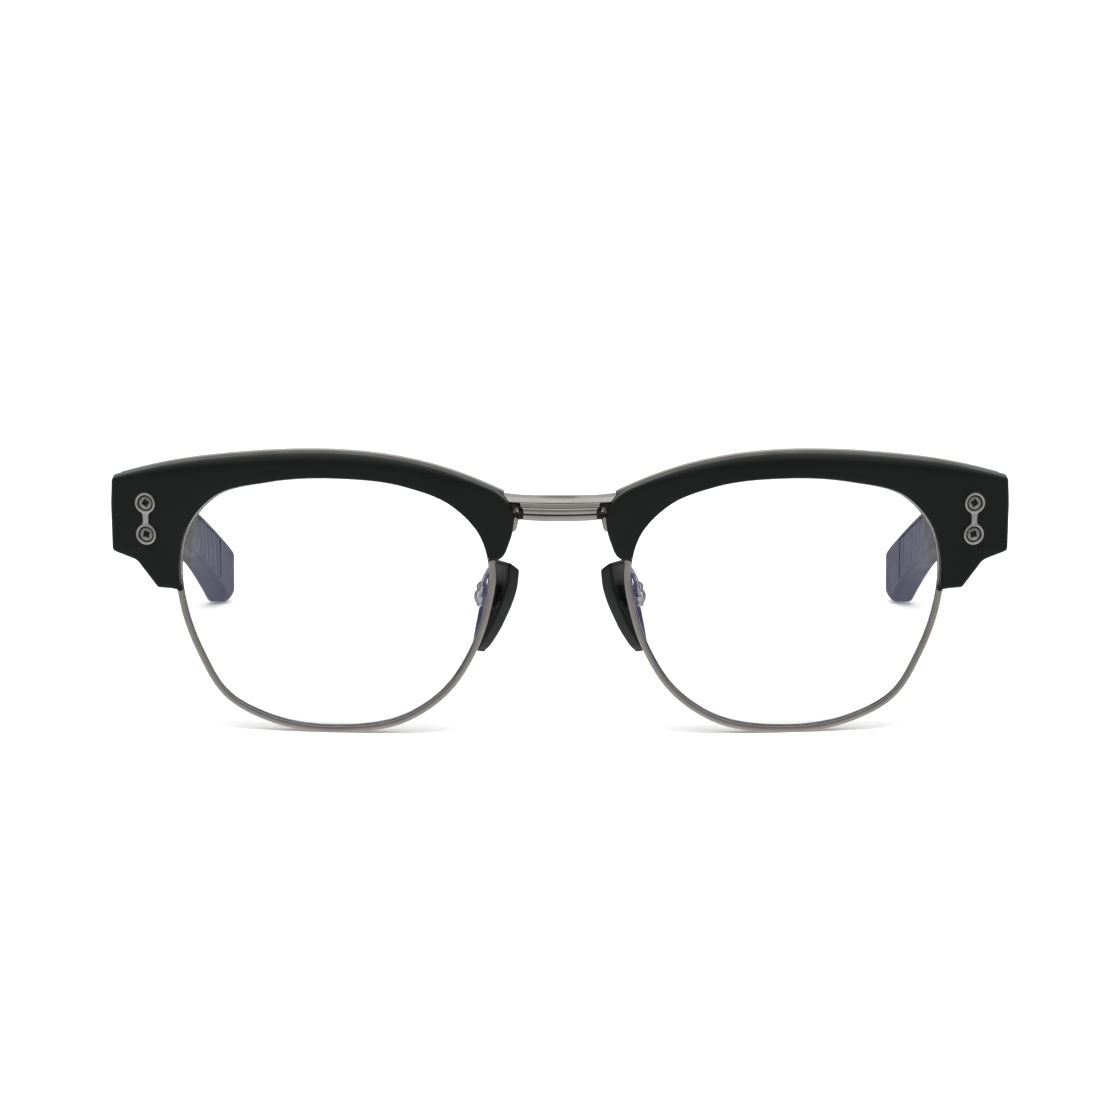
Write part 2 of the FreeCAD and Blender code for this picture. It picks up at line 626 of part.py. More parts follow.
def temple_blank():
    """The whole temple before anything is let into it."""
    blank = plan_layer(0.0, TEMPLE_THICKNESS, TEMPLE_START, TEMPLE_END)
    blank = blank.common(side_prism(temple_outline()))
    long_edges = [e for e in blank.Edges if e.BoundBox.YLength > 2.0 or e.BoundBox.ZLength > 1.2]
    long_edges = [e for e in long_edges if e.BoundBox.YMax > TEMPLE_START + 0.01]
    return blank.makeFillet(TEMPLE_ROUND, long_edges)


def on_temple(shape, y, z):
    """Place a shape on the temple's outer face: its Z points outwards, its Y points up."""
    placed = shape.copy()
    placed.rotate(V(0, 0, 0), V(1, 0, 0), 90)
    placed.rotate(V(0, 0, 0), V(0, 0, 1), 90 + math.degrees(math.atan(TEMPLE_SPLAY)))
    placed.translate(V(temple_face(y), y, z))
    return placed


def side_plate_layer():
    return plan_layer(0.0, SIDE_PLATE_THICKNESS, TEMPLE_START, TEMPLE_START + SIDE_PLATE_LENGTH)


def side_screw_places():
    return [TEMPLE_START + 3.6, TEMPLE_START + SIDE_PLATE_LENGTH - 5.0]


def side_plate_screws():
    """Domed screws through the side plate into the temple."""
    sphere = (DOME_RADIUS ** 2 + DOME_PROUD ** 2) / (2 * DOME_PROUD)
    cap = Part.makeSphere(sphere, V(0, 0, DOME_PROUD - sphere))
    cap = cap.common(box(-5, 5, -5, 5, 0, 5))
    slot = box(-0.14, 0.14, -3, 3, DOME_PROUD - 0.22, 3)
    screw = cap.fuse(rod(SCREW_RADIUS * 0.9, V(0, 0, 0), V(0, 0, -2.1))).cut(slot)
    return Part.Compound([on_temple(screw, y, middle_height(y)) for y in side_screw_places()])


def leaf_screw_shape():
    """Two screws from the inner face through the hinge leaf into the temple."""
    solids = []
    for step in (7.2, 12.2):
        y = TEMPLE_START + step
        head_seat = -TEMPLE_THICKNESS
        screw = rod(SMALL_SCREW_RADIUS, V(0, 0, -1.3), V(0, 0, head_seat))
        head = rod(SMALL_HEAD_RADIUS, V(0, 0, head_seat), V(0, 0, head_seat - 0.35))
        solids.append(on_temple(screw.fuse(head), y, middle_height(y)))
    return Part.Compound(solids)


def leaf_screws():
    slotted = []
    for solid, step in zip(leaf_screw_shape().Solids, (7.2, 12.2)):
        y = TEMPLE_START + step
        slot = on_temple(box(-0.12, 0.12, -2, 2, -8, -TEMPLE_THICKNESS - 0.15), y, middle_height(y))
        slotted.append(solid.cut(slot))
    return Part.Compound(slotted)


def core_wire():
    """A flat metal core inside the temple, touching the back of the hinge leaf."""
    near = TEMPLE_THICKNESS - LEAF_DEPTH - CORE_THICKNESS
    start = TEMPLE_START + 5.5
    end = TEMPLE_END - 8.0
    core = plan_layer(near, near + CORE_THICKNESS, start, end)
    core = core.common(temple_strip(CORE_HEIGHT, start, end))
    return core.cut(leaf_screw_shape())


def inlay_outline(shrink=0.0):
    """The recess in the tip: the tip's side view inset by a border."""
    top, bottom = temple_edges()
    border = INLAY_BORDER + shrink
    start = TEMPLE_END - INLAY_BORDER - INLAY_LENGTH + shrink
    end = TEMPLE_END - border
    upper_curve = spline([V(0, y, z) for y, z in top])
    lower_curve = spline([V(0, y, z) for y, z in bottom])
    stops = [start + (end - start) * i / 4.0 for i in range(5)]
    upper = [V(0, y, height_at(upper_curve, y) - border) for y in stops]
    lower = [V(0, y, max(height_at(lower_curve, y), -0.2) + border + 0.5) for y in stops]
    return [spline(upper).toShape(), line(upper[-1], lower[-1]), spline(lower).toShape(),
            line(lower[0], upper[0])]


def height_at(curve, y):
    """Z of a side-view curve at a place along the temple, by halving."""
    low = curve.FirstParameter
    high = curve.LastParameter
    for _ in range(40):
        middle = (low + high) / 2.0
        if curve.value(middle).y < y:
            low = middle
        else:
            high = middle
    return curve.value(low).z


def tip_inlay(shrink=0.05):
    far = TEMPLE_THICKNESS - INLAY_SUNK
    slab = plan_layer(far - INLAY_THICKNESS, far, TEMPLE_BEND - 5.0, TEMPLE_END)
    return slab.common(side_prism(Part.__sortEdges__(inlay_outline(shrink))))


def inlay_recess():
    far = TEMPLE_THICKNESS - INLAY_SUNK
    slab = plan_layer(far - INLAY_THICKNESS, TEMPLE_THICKNESS + 2.0, TEMPLE_BEND - 5.0, TEMPLE_END)
    return slab.common(side_prism(Part.__sortEdges__(inlay_outline())))


def temple_arm(blank):
    arm = blank.cut(side_plate_layer()).cut(hinge_temple_leaf()).cut(core_wire()).cut(inlay_recess())
    for piece in side_plate_screws().Solids + leaf_screw_shape().Solids:
        arm = arm.cut(piece)
    return largest(arm)


def side_plate(blank):
    plate = blank.common(side_plate_layer())
    for screw in side_plate_screws().Solids:
        plate = plate.cut(screw)
    return plate


# ---- nose pads ----

def pad_directions():
    turn = math.radians(PAD_ANGLE)
    along = V(math.sin(turn), math.cos(turn), 0)      # from the pad's front edge to its rear edge
    outwards = V(math.cos(turn), -math.sin(turn), 0)  # out of the face that the arm holds
    return along, outwards


def pad_nose_side():
    """The pad's edge next to the nose, from its top to its foot, seen from the front."""
    steps = [(0.0, 0.3), (0.3, -2.6), (1.15, -5.3), (2.8, -9.05), (4.4, -12.2)]
    return [V(PAD_NARROW + dx, PAD_FRONT, TOP - PAD_TOP + dz) for dx, dz in steps]


def pad_blank():
    along, _ = pad_directions()
    band = PAD_THICKNESS / math.cos(math.radians(PAD_ANGLE))
    inner = pad_nose_side()
    outer = [point + V(band, 0, 0.9) for point in inner]
    outer[0] = inner[0] + V(band, 0, 1.5)
    outer[-1] = inner[-1] + V(band - 0.1, 0, 0.3)
    foot = V(inner[-1].x + band * 0.45, PAD_FRONT, inner[-1].z - 0.85)
    edges = [spline(inner).toShape(), arc(inner[-1], foot, outer[-1]), spline(outer).toShape(),
             line(outer[0], inner[0])]
    blank = Part.Face(Part.Wire(Part.__sortEdges__(edges))).extrude(along * PAD_WIDTH)
    return blank.common(pad_side_view())


def pad_side_view():
    """The pad's outline seen square on: straight front edge, rounded rear edge and foot."""
    along, outwards = pad_directions()
    head = TOP - PAD_TOP
    start = pad_nose_side()[0]
    wide = PAD_WIDTH
    rear = [(wide - 0.9, 3.5), (wide - 0.05, -2.5), (wide - 0.4, -7.0), (wide - 2.6, -10.9),
            (wide * 0.36, -13.4), (0.6, -12.4), (-0.4, -9.5)]
    front = [(-0.4, -9.5), (-0.5, 3.5)]
    run = [V(start.x, start.y, head + dz) + along * u for u, dz in rear]
    back = [V(start.x, start.y, head + dz) + along * u for u, dz in front]
    edges = [spline(run).toShape(), line(back[0], back[1]), line(back[1], run[0])]
    face = Part.Face(Part.Wire(edges))
    face.translate(outwards * -20.0)
    return face.extrude(outwards * 40.0)


def pad_pin_axis():
    """Where the pad's pin stands: outside the middle of the pad's outer face."""
    along, outwards = pad_directions()
    band = PAD_THICKNESS / math.cos(math.radians(PAD_ANGLE))
    knee = pad_nose_side()[1]
    face_point = V(knee.x + 0.45 + band, PAD_FRONT, 0) + along * (PAD_WIDTH * 0.42)
    spot = face_point + outwards * BARREL_OFFSET
    return V(spot.x, spot.y, TOP - PAD_TOP - 4.6)


def upright(radius, z0, z1):
    axis = pad_pin_axis()
    return rod(radius, V(axis.x, axis.y, z0), V(axis.x, axis.y, z1))


def barrel_span():
    z = pad_pin_axis().z
    return z - BARREL_HEIGHT / 2.0, z + BARREL_HEIGHT / 2.0


def in_pad_frame(x0, x1, y0, y1, z0, z1):
    """A box beside the pin: x out of the pad's outer face, y from its front to its rear."""
    axis = pad_pin_axis()
    shape = box(x0, x1, y0, y1, z0, z1)
    shape.rotate(V(0, 0, 0), V(0, 0, 1), -PAD_ANGLE)
    shape.translate(V(axis.x, axis.y, 0))
    return shape


def pad_mount():
    """A fork with two ears, on a block that is let into the pad."""
    low, high = barrel_span()
    ear_low = low - EAR_GAP - EAR_THICKNESS
    ear_high = high + EAR_GAP + EAR_THICKNESS
    front = -BARREL_RADIUS - 0.25
    block_shape = in_pad_frame(-BARREL_OFFSET - 1.0, front, -1.4, 1.4, ear_low, ear_high)
    for z0, z1 in ((ear_low, low - EAR_GAP), (high + EAR_GAP, ear_high)):
        block_shape = block_shape.fuse(in_pad_frame(front - 0.1, 0.0, -0.9, 0.9, z0, z1))
        block_shape = block_shape.fuse(upright(0.9, z0, z1))
    return block_shape.cut(upright(PAD_PIN_RADIUS, ear_low - 1, ear_high + 1)).removeSplitter()


def pad_pin():
    low, high = barrel_span()
    ear_low = low - EAR_GAP - EAR_THICKNESS
    ear_high = high + EAR_GAP + EAR_THICKNESS
    axis = pad_pin_axis()
    shank = upright(PAD_PIN_RADIUS, ear_low, ear_high)
    dome = Part.makeSphere(0.85, V(axis.x, axis.y, ear_high - 0.25))
    dome = dome.common(upright(0.8, ear_high, ear_high + 2))
    return shank.fuse(dome)


def nose_pad():
    return pad_blank().cut(pad_mount())


def pad_arm():
    """A round wire from the back of the rim to the barrel that the pad turns on."""
    low, high = barrel_span()
    axis = pad_pin_axis()
    root_z = TOP - PAD_TOP + 0.4
    base = spline(lens_points(), closed=True)
    root_x = nasal_edge(base, root_z) - RIM_WIDTH / 2.0
    start = V(root_x, behind_brow(root_x) - 0.3, root_z)
    lane = axis.y - KEEP_CLEAR
    end = V(axis.x, axis.y - BARREL_RADIUS * 0.6, axis.z)
    through = [start, V(root_x + 0.5, lane - 0.05, root_z - 0.5), V(axis.x - 0.5, lane, axis.z + 3.0),
               V(axis.x, lane, axis.z + 0.9), end]
    curve = spline(through)
    path = Part.Wire([curve.toShape()])
    heading = curve.tangent(curve.FirstParameter)[0]
    ring = Part.Wire([Part.Circle(start, heading, ARM_WIRE_RADIUS).toShape()])
    wire = path.makePipeShell([ring], True, True)
    barrel = upright(BARREL_RADIUS, low, high)
    bore = upright(PAD_PIN_RADIUS + PAD_PIN_CLEARANCE, low - 1, high + 1)
    arm = wire.fuse(barrel).cut(bore)
    return largest(arm.cut(rim_back()))


def rim_back():
    return wrap(RIM_FRONT).cut(wrap(BROW_BACK))


def nasal_edge(curve, z):
    """X of the opening's inner edge at a height, by stepping round the curve."""
    best = None
    for i in range(400):
        at = curve.FirstParameter + (curve.LastParameter - curve.FirstParameter) * i / 400.0
        point = curve.value(at)
        if point.x < MIDDLE and (best is None or abs(point.z - z) < abs(best.z - z)):
            best = point
    return best.x


# ---- put together ----

def left_side():
    blank = temple_blank()
    return {
        "brow": brow(),
        "rim": rim(),
        "closing_screw": closing_screw(),
        "lens": lens(),
        "chassis_bar": chassis_bar(),
        "brow_screws": Part.Compound(brow_screw_list()),
        "rivet_plate": rivet_plate(),
        "plate_screws": plate_screws(),
        "hinge_front_leaf": hinge_front_leaf(),
        "hinge_pin": hinge_pin(),
        "hinge_temple_leaf": hinge_temple_leaf(),
        "leaf_screws": leaf_screws(),
        "temple_arm": temple_arm(blank),
        "core_wire": core_wire(),
        "side_plate": side_plate(blank),
        "side_plate_screws": side_plate_screws(),
        "tip_inlay": tip_inlay(),
        "pad_arm": pad_arm(),
        "pad_mount": pad_mount(),
        "pad_pin": pad_pin(),
        "nose_pad": nose_pad(),
    }


def mirrored(shape):
    return shape.mirror(V(0, 0, 0), V(1, 0, 0))


def main():
    nodes = {"bridge": bridge()}
    for name, shape in left_side().items():
        nodes["left_" + name] = shape
        nodes["right_" + name] = mirrored(shape)
    whole = FreeCAD.BoundBox()
    for shape in nodes.values():
        whole.add(shape.optimalBoundingBox(True, False))
    shift = V(-whole.Center.x, -whole.Center.y, -whole.ZMin)
    os.makedirs("parts", exist_ok=True)
    for name, shape in nodes.items():
        placed = shape.copy()
        placed.translate(shift)
        placed.exportStep("parts/" + name + ".step")
    pin = pad_pin_axis()
    print("box", round(whole.XLength, 2), round(whole.YLength, 2), round(whole.ZLength, 2))
    print("shift", round(shift.x, 3), round(shift.y, 3), round(shift.z, 3))
    print("hinge axis at", round(PIVOT_X + shift.x, 3), round(PIVOT_BACK + shift.y, 3))
    print("pad pin at", round(pin.x + shift.x, 3), round(pin.y + shift.y, 3), round(pin.z + shift.z, 3))


main()
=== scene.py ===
import math

import bmesh
import bpy
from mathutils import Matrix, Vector
from mathutils.geometry import interpolate_bezier


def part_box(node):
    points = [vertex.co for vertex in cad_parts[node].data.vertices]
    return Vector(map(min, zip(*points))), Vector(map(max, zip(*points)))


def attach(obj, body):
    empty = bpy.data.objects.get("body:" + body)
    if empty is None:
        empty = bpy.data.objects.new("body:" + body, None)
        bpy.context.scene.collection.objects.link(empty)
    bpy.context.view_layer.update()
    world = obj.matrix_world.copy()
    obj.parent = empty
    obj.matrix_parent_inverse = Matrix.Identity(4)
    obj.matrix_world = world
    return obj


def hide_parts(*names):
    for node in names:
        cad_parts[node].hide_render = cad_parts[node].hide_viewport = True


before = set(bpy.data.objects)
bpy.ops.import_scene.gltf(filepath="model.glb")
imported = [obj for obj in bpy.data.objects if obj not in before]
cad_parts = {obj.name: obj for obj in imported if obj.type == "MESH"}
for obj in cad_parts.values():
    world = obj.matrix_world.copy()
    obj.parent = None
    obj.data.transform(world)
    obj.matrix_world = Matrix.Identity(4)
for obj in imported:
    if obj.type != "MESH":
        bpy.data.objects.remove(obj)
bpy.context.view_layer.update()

# ---- camera, floor and studio light ------------------------------------------------------------
# The glasses stand open on a pale table, seen from straight ahead and a little above, with soft
# white light all round, a long softbox overhead and one on each side.

MM = 0.001
HINGE_BACK = 17.903            # hinge axis behind the foremost line of the front
hinge_low, hinge_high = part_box("left_hinge_pin")
FRONT_Y = (hinge_low.y + hinge_high.y) / 2 / MM - HINGE_BACK
TABLE_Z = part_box("left_rim")[0].z / MM

VIEW_DISTANCE = 1.1
VIEW_HEIGHT = 8.7            # degrees above the table
AIM_HEIGHT = 0.0292
AIM = Vector((0.0, FRONT_Y * MM, AIM_HEIGHT))
camera_data = bpy.data.cameras.new("view")
camera_data.lens = 217.8
camera_data.sensor_width = 36.0
camera_data.clip_start = 0.01
camera = bpy.data.objects.new("view", camera_data)
tilt = math.radians(VIEW_HEIGHT)
camera.location = AIM + Vector((0, -math.cos(tilt), math.sin(tilt))) * VIEW_DISTANCE
camera.rotation_euler = (math.pi / 2 - tilt, 0, 0)
bpy.context.scene.collection.objects.link(camera)
bpy.context.scene.camera = camera
bpy.context.scene.view_settings.view_transform = "Standard"


def new_material(name, **sockets):
    """A material with a Principled shader whose sockets are set."""
    material = bpy.data.materials.new(name)
    material.use_nodes = True
    shader = material.node_tree.nodes["Principled BSDF"]
    for socket, value in sockets.items():
        shader.inputs[socket.replace("_", " ")].default_value = value
    return material


def noise_on(material, scale, detail=2.0):
    """Noise on the object's own coordinates; returns the tree, the noise and the shader's sockets."""
    tree = material.node_tree
    place = tree.nodes.new("ShaderNodeTexCoord")
    noise = tree.nodes.new("ShaderNodeTexNoise")
    noise.inputs["Scale"].default_value = scale
    noise.inputs["Detail"].default_value = detail
    tree.links.new(place.outputs["Object"], noise.inputs["Vector"])
    return tree, noise.outputs["Fac"], tree.nodes["Principled BSDF"].inputs


def noise_to(material, socket, scale, low, high):
    """Noise between two values, into one of the shader's sockets."""
    tree, noise, sockets = noise_on(material, scale, detail=3.0)
    levels = tree.nodes.new("ShaderNodeMapRange")
    levels.inputs["From Min"].default_value = 0.3
    levels.inputs["From Max"].default_value = 0.7
    levels.inputs["To Min"].default_value = low
    levels.inputs["To Max"].default_value = high
    tree.links.new(noise, levels.inputs["Value"])
    tree.links.new(levels.outputs["Result"], sockets[socket])


def colour_to(material, scale, dark, light):
    """The base colour drifts between two tones."""
    tree, noise, sockets = noise_on(material, scale)
    ramp = tree.nodes.new("ShaderNodeValToRGB")
    for stop, position, tone in zip(ramp.color_ramp.elements, (0.35, 0.65), (dark, light)):
        stop.position = position
        stop.color = (*tone, 1)
    tree.links.new(noise, ramp.inputs["Fac"])
    tree.links.new(ramp.outputs["Color"], sockets["Base Color"])


def bump_to(material, scale, height):
    """Fine surface relief, with its height in millimetres."""
    tree, noise, sockets = noise_on(material, scale)
    bump = tree.nodes.new("ShaderNodeBump")
    bump.inputs["Strength"].default_value = 1.0
    bump.inputs["Distance"].default_value = height * MM
    tree.links.new(noise, bump.inputs["Height"])
    tree.links.new(bump.outputs["Normal"], sockets["Normal"])


FLOOR_SIZE = 3.0
floor_mesh = bpy.data.meshes.new("floor")
table = bmesh.new()
bmesh.ops.create_grid(table, x_segments=1, y_segments=1, size=FLOOR_SIZE)
table.to_mesh(floor_mesh)
table.free()
floor = bpy.data.objects.new("floor", floor_mesh)
bpy.context.scene.collection.objects.link(floor)
floor_paint = new_material("floor_paint", Base_Color=(0.93, 0.93, 0.93, 1), Roughness=0.9)
colour_to(floor_paint, 3.0, (0.925, 0.925, 0.925), (0.935, 0.935, 0.935))
floor_mesh.materials.append(floor_paint)
floor.visible_glossy = False

world = bpy.data.worlds.new("studio")
world.use_nodes = True
bpy.context.scene.world = world
sky = world.node_tree
sky.nodes["Background"].inputs["Strength"].default_value = 1.0
heading = sky.nodes.new("ShaderNodeTexCoord")
split = sky.nodes.new("ShaderNodeSeparateXYZ")
lift = sky.nodes.new("ShaderNodeMapRange")
lift.inputs["From Min"].default_value = -1.0
sky.links.new(heading.outputs["Generated"], split.inputs["Vector"])
sky.links.new(split.outputs["Z"], lift.inputs["Value"])


def sky_bands(tones):
    """Grey tones by height, from straight below to straight above."""
    bands = sky.nodes.new("ShaderNodeValToRGB")
    while len(bands.color_ramp.elements) < len(tones):
        bands.color_ramp.elements.new(0.5)
    for stop, (position, tone) in zip(bands.color_ramp.elements, tones):
        stop.position = position
        stop.color = (tone, tone, tone, 1)
    sky.links.new(lift.outputs["Result"], bands.inputs["Fac"])
    return bands.outputs["Color"]


# what glossy surfaces reflect: a dim studio in front of the glasses and a bright wall behind them
behind = sky.nodes.new("ShaderNodeMapRange")
behind.inputs["From Min"].default_value = -0.1
behind.inputs["From Max"].default_value = 0.4
sky.links.new(split.outputs["Y"], behind.inputs["Value"])
around = sky.nodes.new("ShaderNodeMix")
around.data_type = "RGBA"
FRONT_BANDS = [(0.0, 0.8), (0.3, 0.6), (0.42, 0.4), (0.5, 0.27), (0.66, 0.16), (0.86, 0.4), (1.0, 0.9)]
BACK_BANDS = [(0.0, 0.8), (0.4, 0.7), (0.5, 0.5), (0.62, 0.75), (1.0, 0.9)]
sky.links.new(sky_bands(FRONT_BANDS), around.inputs["A"])
sky.links.new(sky_bands(BACK_BANDS), around.inputs["B"])
sky.links.new(behind.outputs["Result"], around.inputs["Factor"])
rays = sky.nodes.new("ShaderNodeLightPath")
reflected = sky.nodes.new("ShaderNodeMath")
reflected.operation = "GREATER_THAN"
reflected.inputs[1].default_value = 0.5
sky.links.new(rays.outputs["Glossy Depth"], reflected.inputs[0])
choose = sky.nodes.new("ShaderNodeMix")
choose.data_type = "RGBA"
SKY_WHITE = 1.1
choose.inputs["A"].default_value = (SKY_WHITE, SKY_WHITE, SKY_WHITE, 1)
sky.links.new(reflected.outputs["Value"], choose.inputs["Factor"])
sky.links.new(around.outputs["Result"], choose.inputs["B"])
sky.links.new(choose.outputs["Result"], sky.nodes["Background"].inputs["Color"])


def softbox(name, place, size, power):
    """A lamp that faces the glasses, hidden from the camera and from reflections."""
    light = bpy.data.lights.new(name, "AREA")
    light.shape = "RECTANGLE"
    light.size, light.size_y = size
    light.energy = power
    box = bpy.data.objects.new(name, light)
    box.location = place
    box.rotation_euler = (AIM - Vector(place)).to_track_quat("-Z", "Y").to_euler()
    box.visible_camera = False
    box.visible_glossy = False
    bpy.context.scene.collection.objects.link(box)


softbox("overhead", (0, -0.25, 0.75), (0.9, 0.35), 5.0)
softbox("left_side", (0.75, -0.45, 0.35), (0.25, 0.6), 2.0)
softbox("right_side", (-0.75, -0.45, 0.35), (0.25, 0.6), 2.0)

# ---- rims ---------------------------------------------------------------------------------------
# A rim is one drawn wire of gunmetal-plated metal with a groove inside, bent round the lens and
# closed by two blocks and a small screw behind the brow.  Both follow the front's wrap.

WRAP_RADIUS = 260.0
LENS_WIDTH = 50.5
LENS_HEIGHT = 41.0
LENS_GAP = 22.8
RIM_WIDTH = 1.0
RIM_DEPTH = 2.9
RIM_FRONT = 1.5
RIM_BACK = RIM_FRONT + RIM_DEPTH
GROOVE_WIDTH = 0.8
GROOVE_DEPTH = 0.55
NASAL = LENS_GAP / 2
TEMPORAL = NASAL + LENS_WIDTH
MIDDLE = NASAL + LENS_WIDTH / 2
BOTTOM = 1.0
TOP = BOTTOM + LENS_HEIGHT


def on_wrap(x, z, depth):
    """A place on the front in metres: sideways, up, and behind the wrapped surface."""
    y = WRAP_RADIUS - math.sqrt((WRAP_RADIUS - depth) ** 2 - x * x)
    return Vector((x, y + FRONT_Y, z + TABLE_Z)) * MM


def smooth_path(points, closed=False, steps=24):
    """A smooth curve through the points, as many close points."""
    count = len(points)
    path = [Vector(p) for p in points]
    tangents = []
    for i in range(count):
        before = path[(i - 1) % count] if closed or i > 0 else None
        after = path[(i + 1) % count] if closed or i < count - 1 else None
        if before is None or after is None:
            tangents.append(None)
            continue
        d0 = (path[i] - before).length
        d1 = (after - path[i]).length
        tangents.append(((path[i] - before) / d0 * d1 + (after - path[i]) / d1 * d0) / (d0 + d1))
    if not closed:
        first, last = path[1] - path[0], path[-1] - path[-2]
        tangents[0] = first * 2 / first.length - tangents[1]
        tangents[-1] = last * 2 / last.length - tangents[-2]
    run = []
    for i in range(count if closed else count - 1):
        a, b = path[i], path[(i + 1) % count]
        reach = (b - a).length / 3
        ta, tb = tangents[i], tangents[(i + 1) % count]
        run += list(interpolate_bezier(a, a + ta * reach, b - tb * reach, b, steps + 1))[:-1]
    return run if closed else run + [path[-1]]


def spread(path, count, closed=False):
    """The same path as evenly spaced points."""
    points = list(path) + ([path[0]] if closed else [])
    total = [0.0]
    for a, b in zip(points, points[1:]):
        total.append(total[-1] + (b - a).length)
    even = []
    k = 0
    for i in range(count):
        at = total[-1] * i / (count if closed else count - 1)
        while k < len(points) - 2 and total[k + 1] < at:
            k += 1
        span = total[k + 1] - total[k]
        even.append(points[k].lerp(points[k + 1], (at - total[k]) / span if span else 0.0))
    return even


def normals_of(path, closed=False):
    """At each point of a flat path, the direction to its left, in the path's own plane."""
    out = []
    count = len(path)
    for i in range(count):
        before = path[i - 1] if closed or i > 0 else path[i]
        after = path[(i + 1) % count] if closed or i < count - 1 else path[i]
        along = (after - before).normalized()
        out.append(Vector((-along.y, along.x)))
    return out


LENS_STEPS = 240
# sideways and up, as shares of half the lens's width and height
lens_shape = [(-0.02, -1.0), (0.41, -0.934), (0.695, -0.752), (0.865, -0.42), (0.969, -0.07),
              (1.0, 0.293), (0.947, 0.58), (0.778, 0.828), (0.418, 0.961), (-0.03, 1.0),
              (-0.457, 0.941), (-0.762, 0.79), (-0.935, 0.565), (-1.0, 0.26), (-0.968, -0.024),
              (-0.877, -0.356), (-0.705, -0.683), (-0.453, -0.902)]
lens_corners = [(MIDDLE + a * LENS_WIDTH / 2, BOTTOM + (b + 1) * LENS_HEIGHT / 2)
                for a, b in lens_shape]
opening = spread(smooth_path(lens_corners, closed=True), LENS_STEPS, closed=True)
inwards = normals_of(opening, closed=True)


def opening_at(offset):
    """The lens opening's outline, grown by an offset."""
    return [point - normal * offset for point, normal in zip(opening, inwards)]


def ring(bm, places):
    """A closed loop of edges through the places."""
    loop = [bm.verts.new(p) for p in places]
    return [bm.edges.new((a, b)) for a, b in zip(loop, loop[1:] + loop[:1])]


def loft(bm, rings, closed=False):
    """A skin over rings that have as many points each, filled at its ends unless it is closed."""
    loops = [ring(bm, r) for r in rings]
    for a, b in zip(loops, loops[1:] + (loops[:1] if closed else [])):
        bmesh.ops.bridge_loops(bm, edges=a + b)
    if not closed:
        bmesh.ops.edgeloop_fill(bm, edges=loops[0])
        bmesh.ops.edgeloop_fill(bm, edges=loops[-1])
    return loops


def finish_piece(name, bm, material, body, stands_for, sharp=35.0):
    """Turn a bmesh into a piece with smooth faces and sharp edges that rides on a body."""
    bmesh.ops.recalc_face_normals(bm, faces=bm.faces)
    mesh = bpy.data.meshes.new(name)
    bm.to_mesh(mesh)
    for polygon in mesh.polygons:
        polygon.use_smooth = True
    mesh.set_sharp_from_angle(angle=math.radians(sharp))
    piece = bpy.data.objects.new(name, mesh)
    bpy.context.scene.collection.objects.link(piece)
    for m in material if isinstance(material, list) else [material]:
        mesh.materials.append(m)
    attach(piece, body)
    if stands_for:
        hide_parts(*stands_for)


def pair(name, bm, material, body, stands_for=(), sharp=35.0):
    """The left piece, and its mirror image as the right one."""
    for side in ("left_", "right_"):
        if side == "right_":
            bmesh.ops.scale(bm, vec=(-1, 1, 1), verts=bm.verts)
        where = body if body == "front" else side + body
        finish_piece(side + name, bm, material, where,
                     [side + n for n in stands_for], sharp)
    bm.free()


gunmetal = new_material("gunmetal_plating", Metallic=1.0, Roughness=0.26)
colour_to(gunmetal, 260.0, (0.50, 0.475, 0.45), (0.56, 0.535, 0.505))
noise_to(gunmetal, "Roughness", 500.0, 0.18, 0.28)

EASE = 0.16                 # rounded edges of the wire
NIP = 0.3 * EASE
groove_front = RIM_FRONT + (RIM_DEPTH - GROOVE_WIDTH) / 2
groove_back = groove_front + GROOVE_WIDTH
# width out from the opening, and depth behind the front
wire_section = [(EASE, RIM_FRONT), (RIM_WIDTH - EASE, RIM_FRONT), (RIM_WIDTH - NIP, RIM_FRONT + NIP),
                (RIM_WIDTH, RIM_FRONT + EASE), (RIM_WIDTH, RIM_BACK - EASE),
                (RIM_WIDTH - NIP, RIM_BACK - NIP), (RIM_WIDTH - EASE, RIM_BACK), (EASE, RIM_BACK),
                (NIP, RIM_BACK - NIP), (0.0, RIM_BACK - EASE), (0.0, groove_back),
                (GROOVE_DEPTH, groove_back), (GROOVE_DEPTH, groove_front),
                (0.0, groove_front), (0.0, RIM_FRONT + EASE), (NIP, RIM_FRONT + NIP)]
bm = bmesh.new()
loft(bm, [[on_wrap(p.x, p.y, depth) for p in opening_at(offset)] for offset, depth in wire_section],
     closed=True)
pair("rim_wire", bm, gunmetal, "front", ["rim"])


def eased_block(bm, x, y, z, ease, place, lean=0.0):
    """A small block with rounded edges; its outer end leans over by an amount."""
    made = bmesh.ops.create_cube(bm, size=1.0)["verts"]
    for v in made:
        u, w, t = v.co.x + 0.5, v.co.y + 0.5, v.co.z + 0.5
        v.co = place(x[0] + (x[1] - x[0]) * u + lean * t, y[0] + (y[1] - y[0]) * w,
                     z[0] + (z[1] - z[0]) * t)
    edges = list({e for v in made for e in v.link_edges})
    bmesh.ops.bevel(bm, geom=edges, offset=ease * MM, affect="EDGES", segments=2, profile=0.5,
                    material=-1)


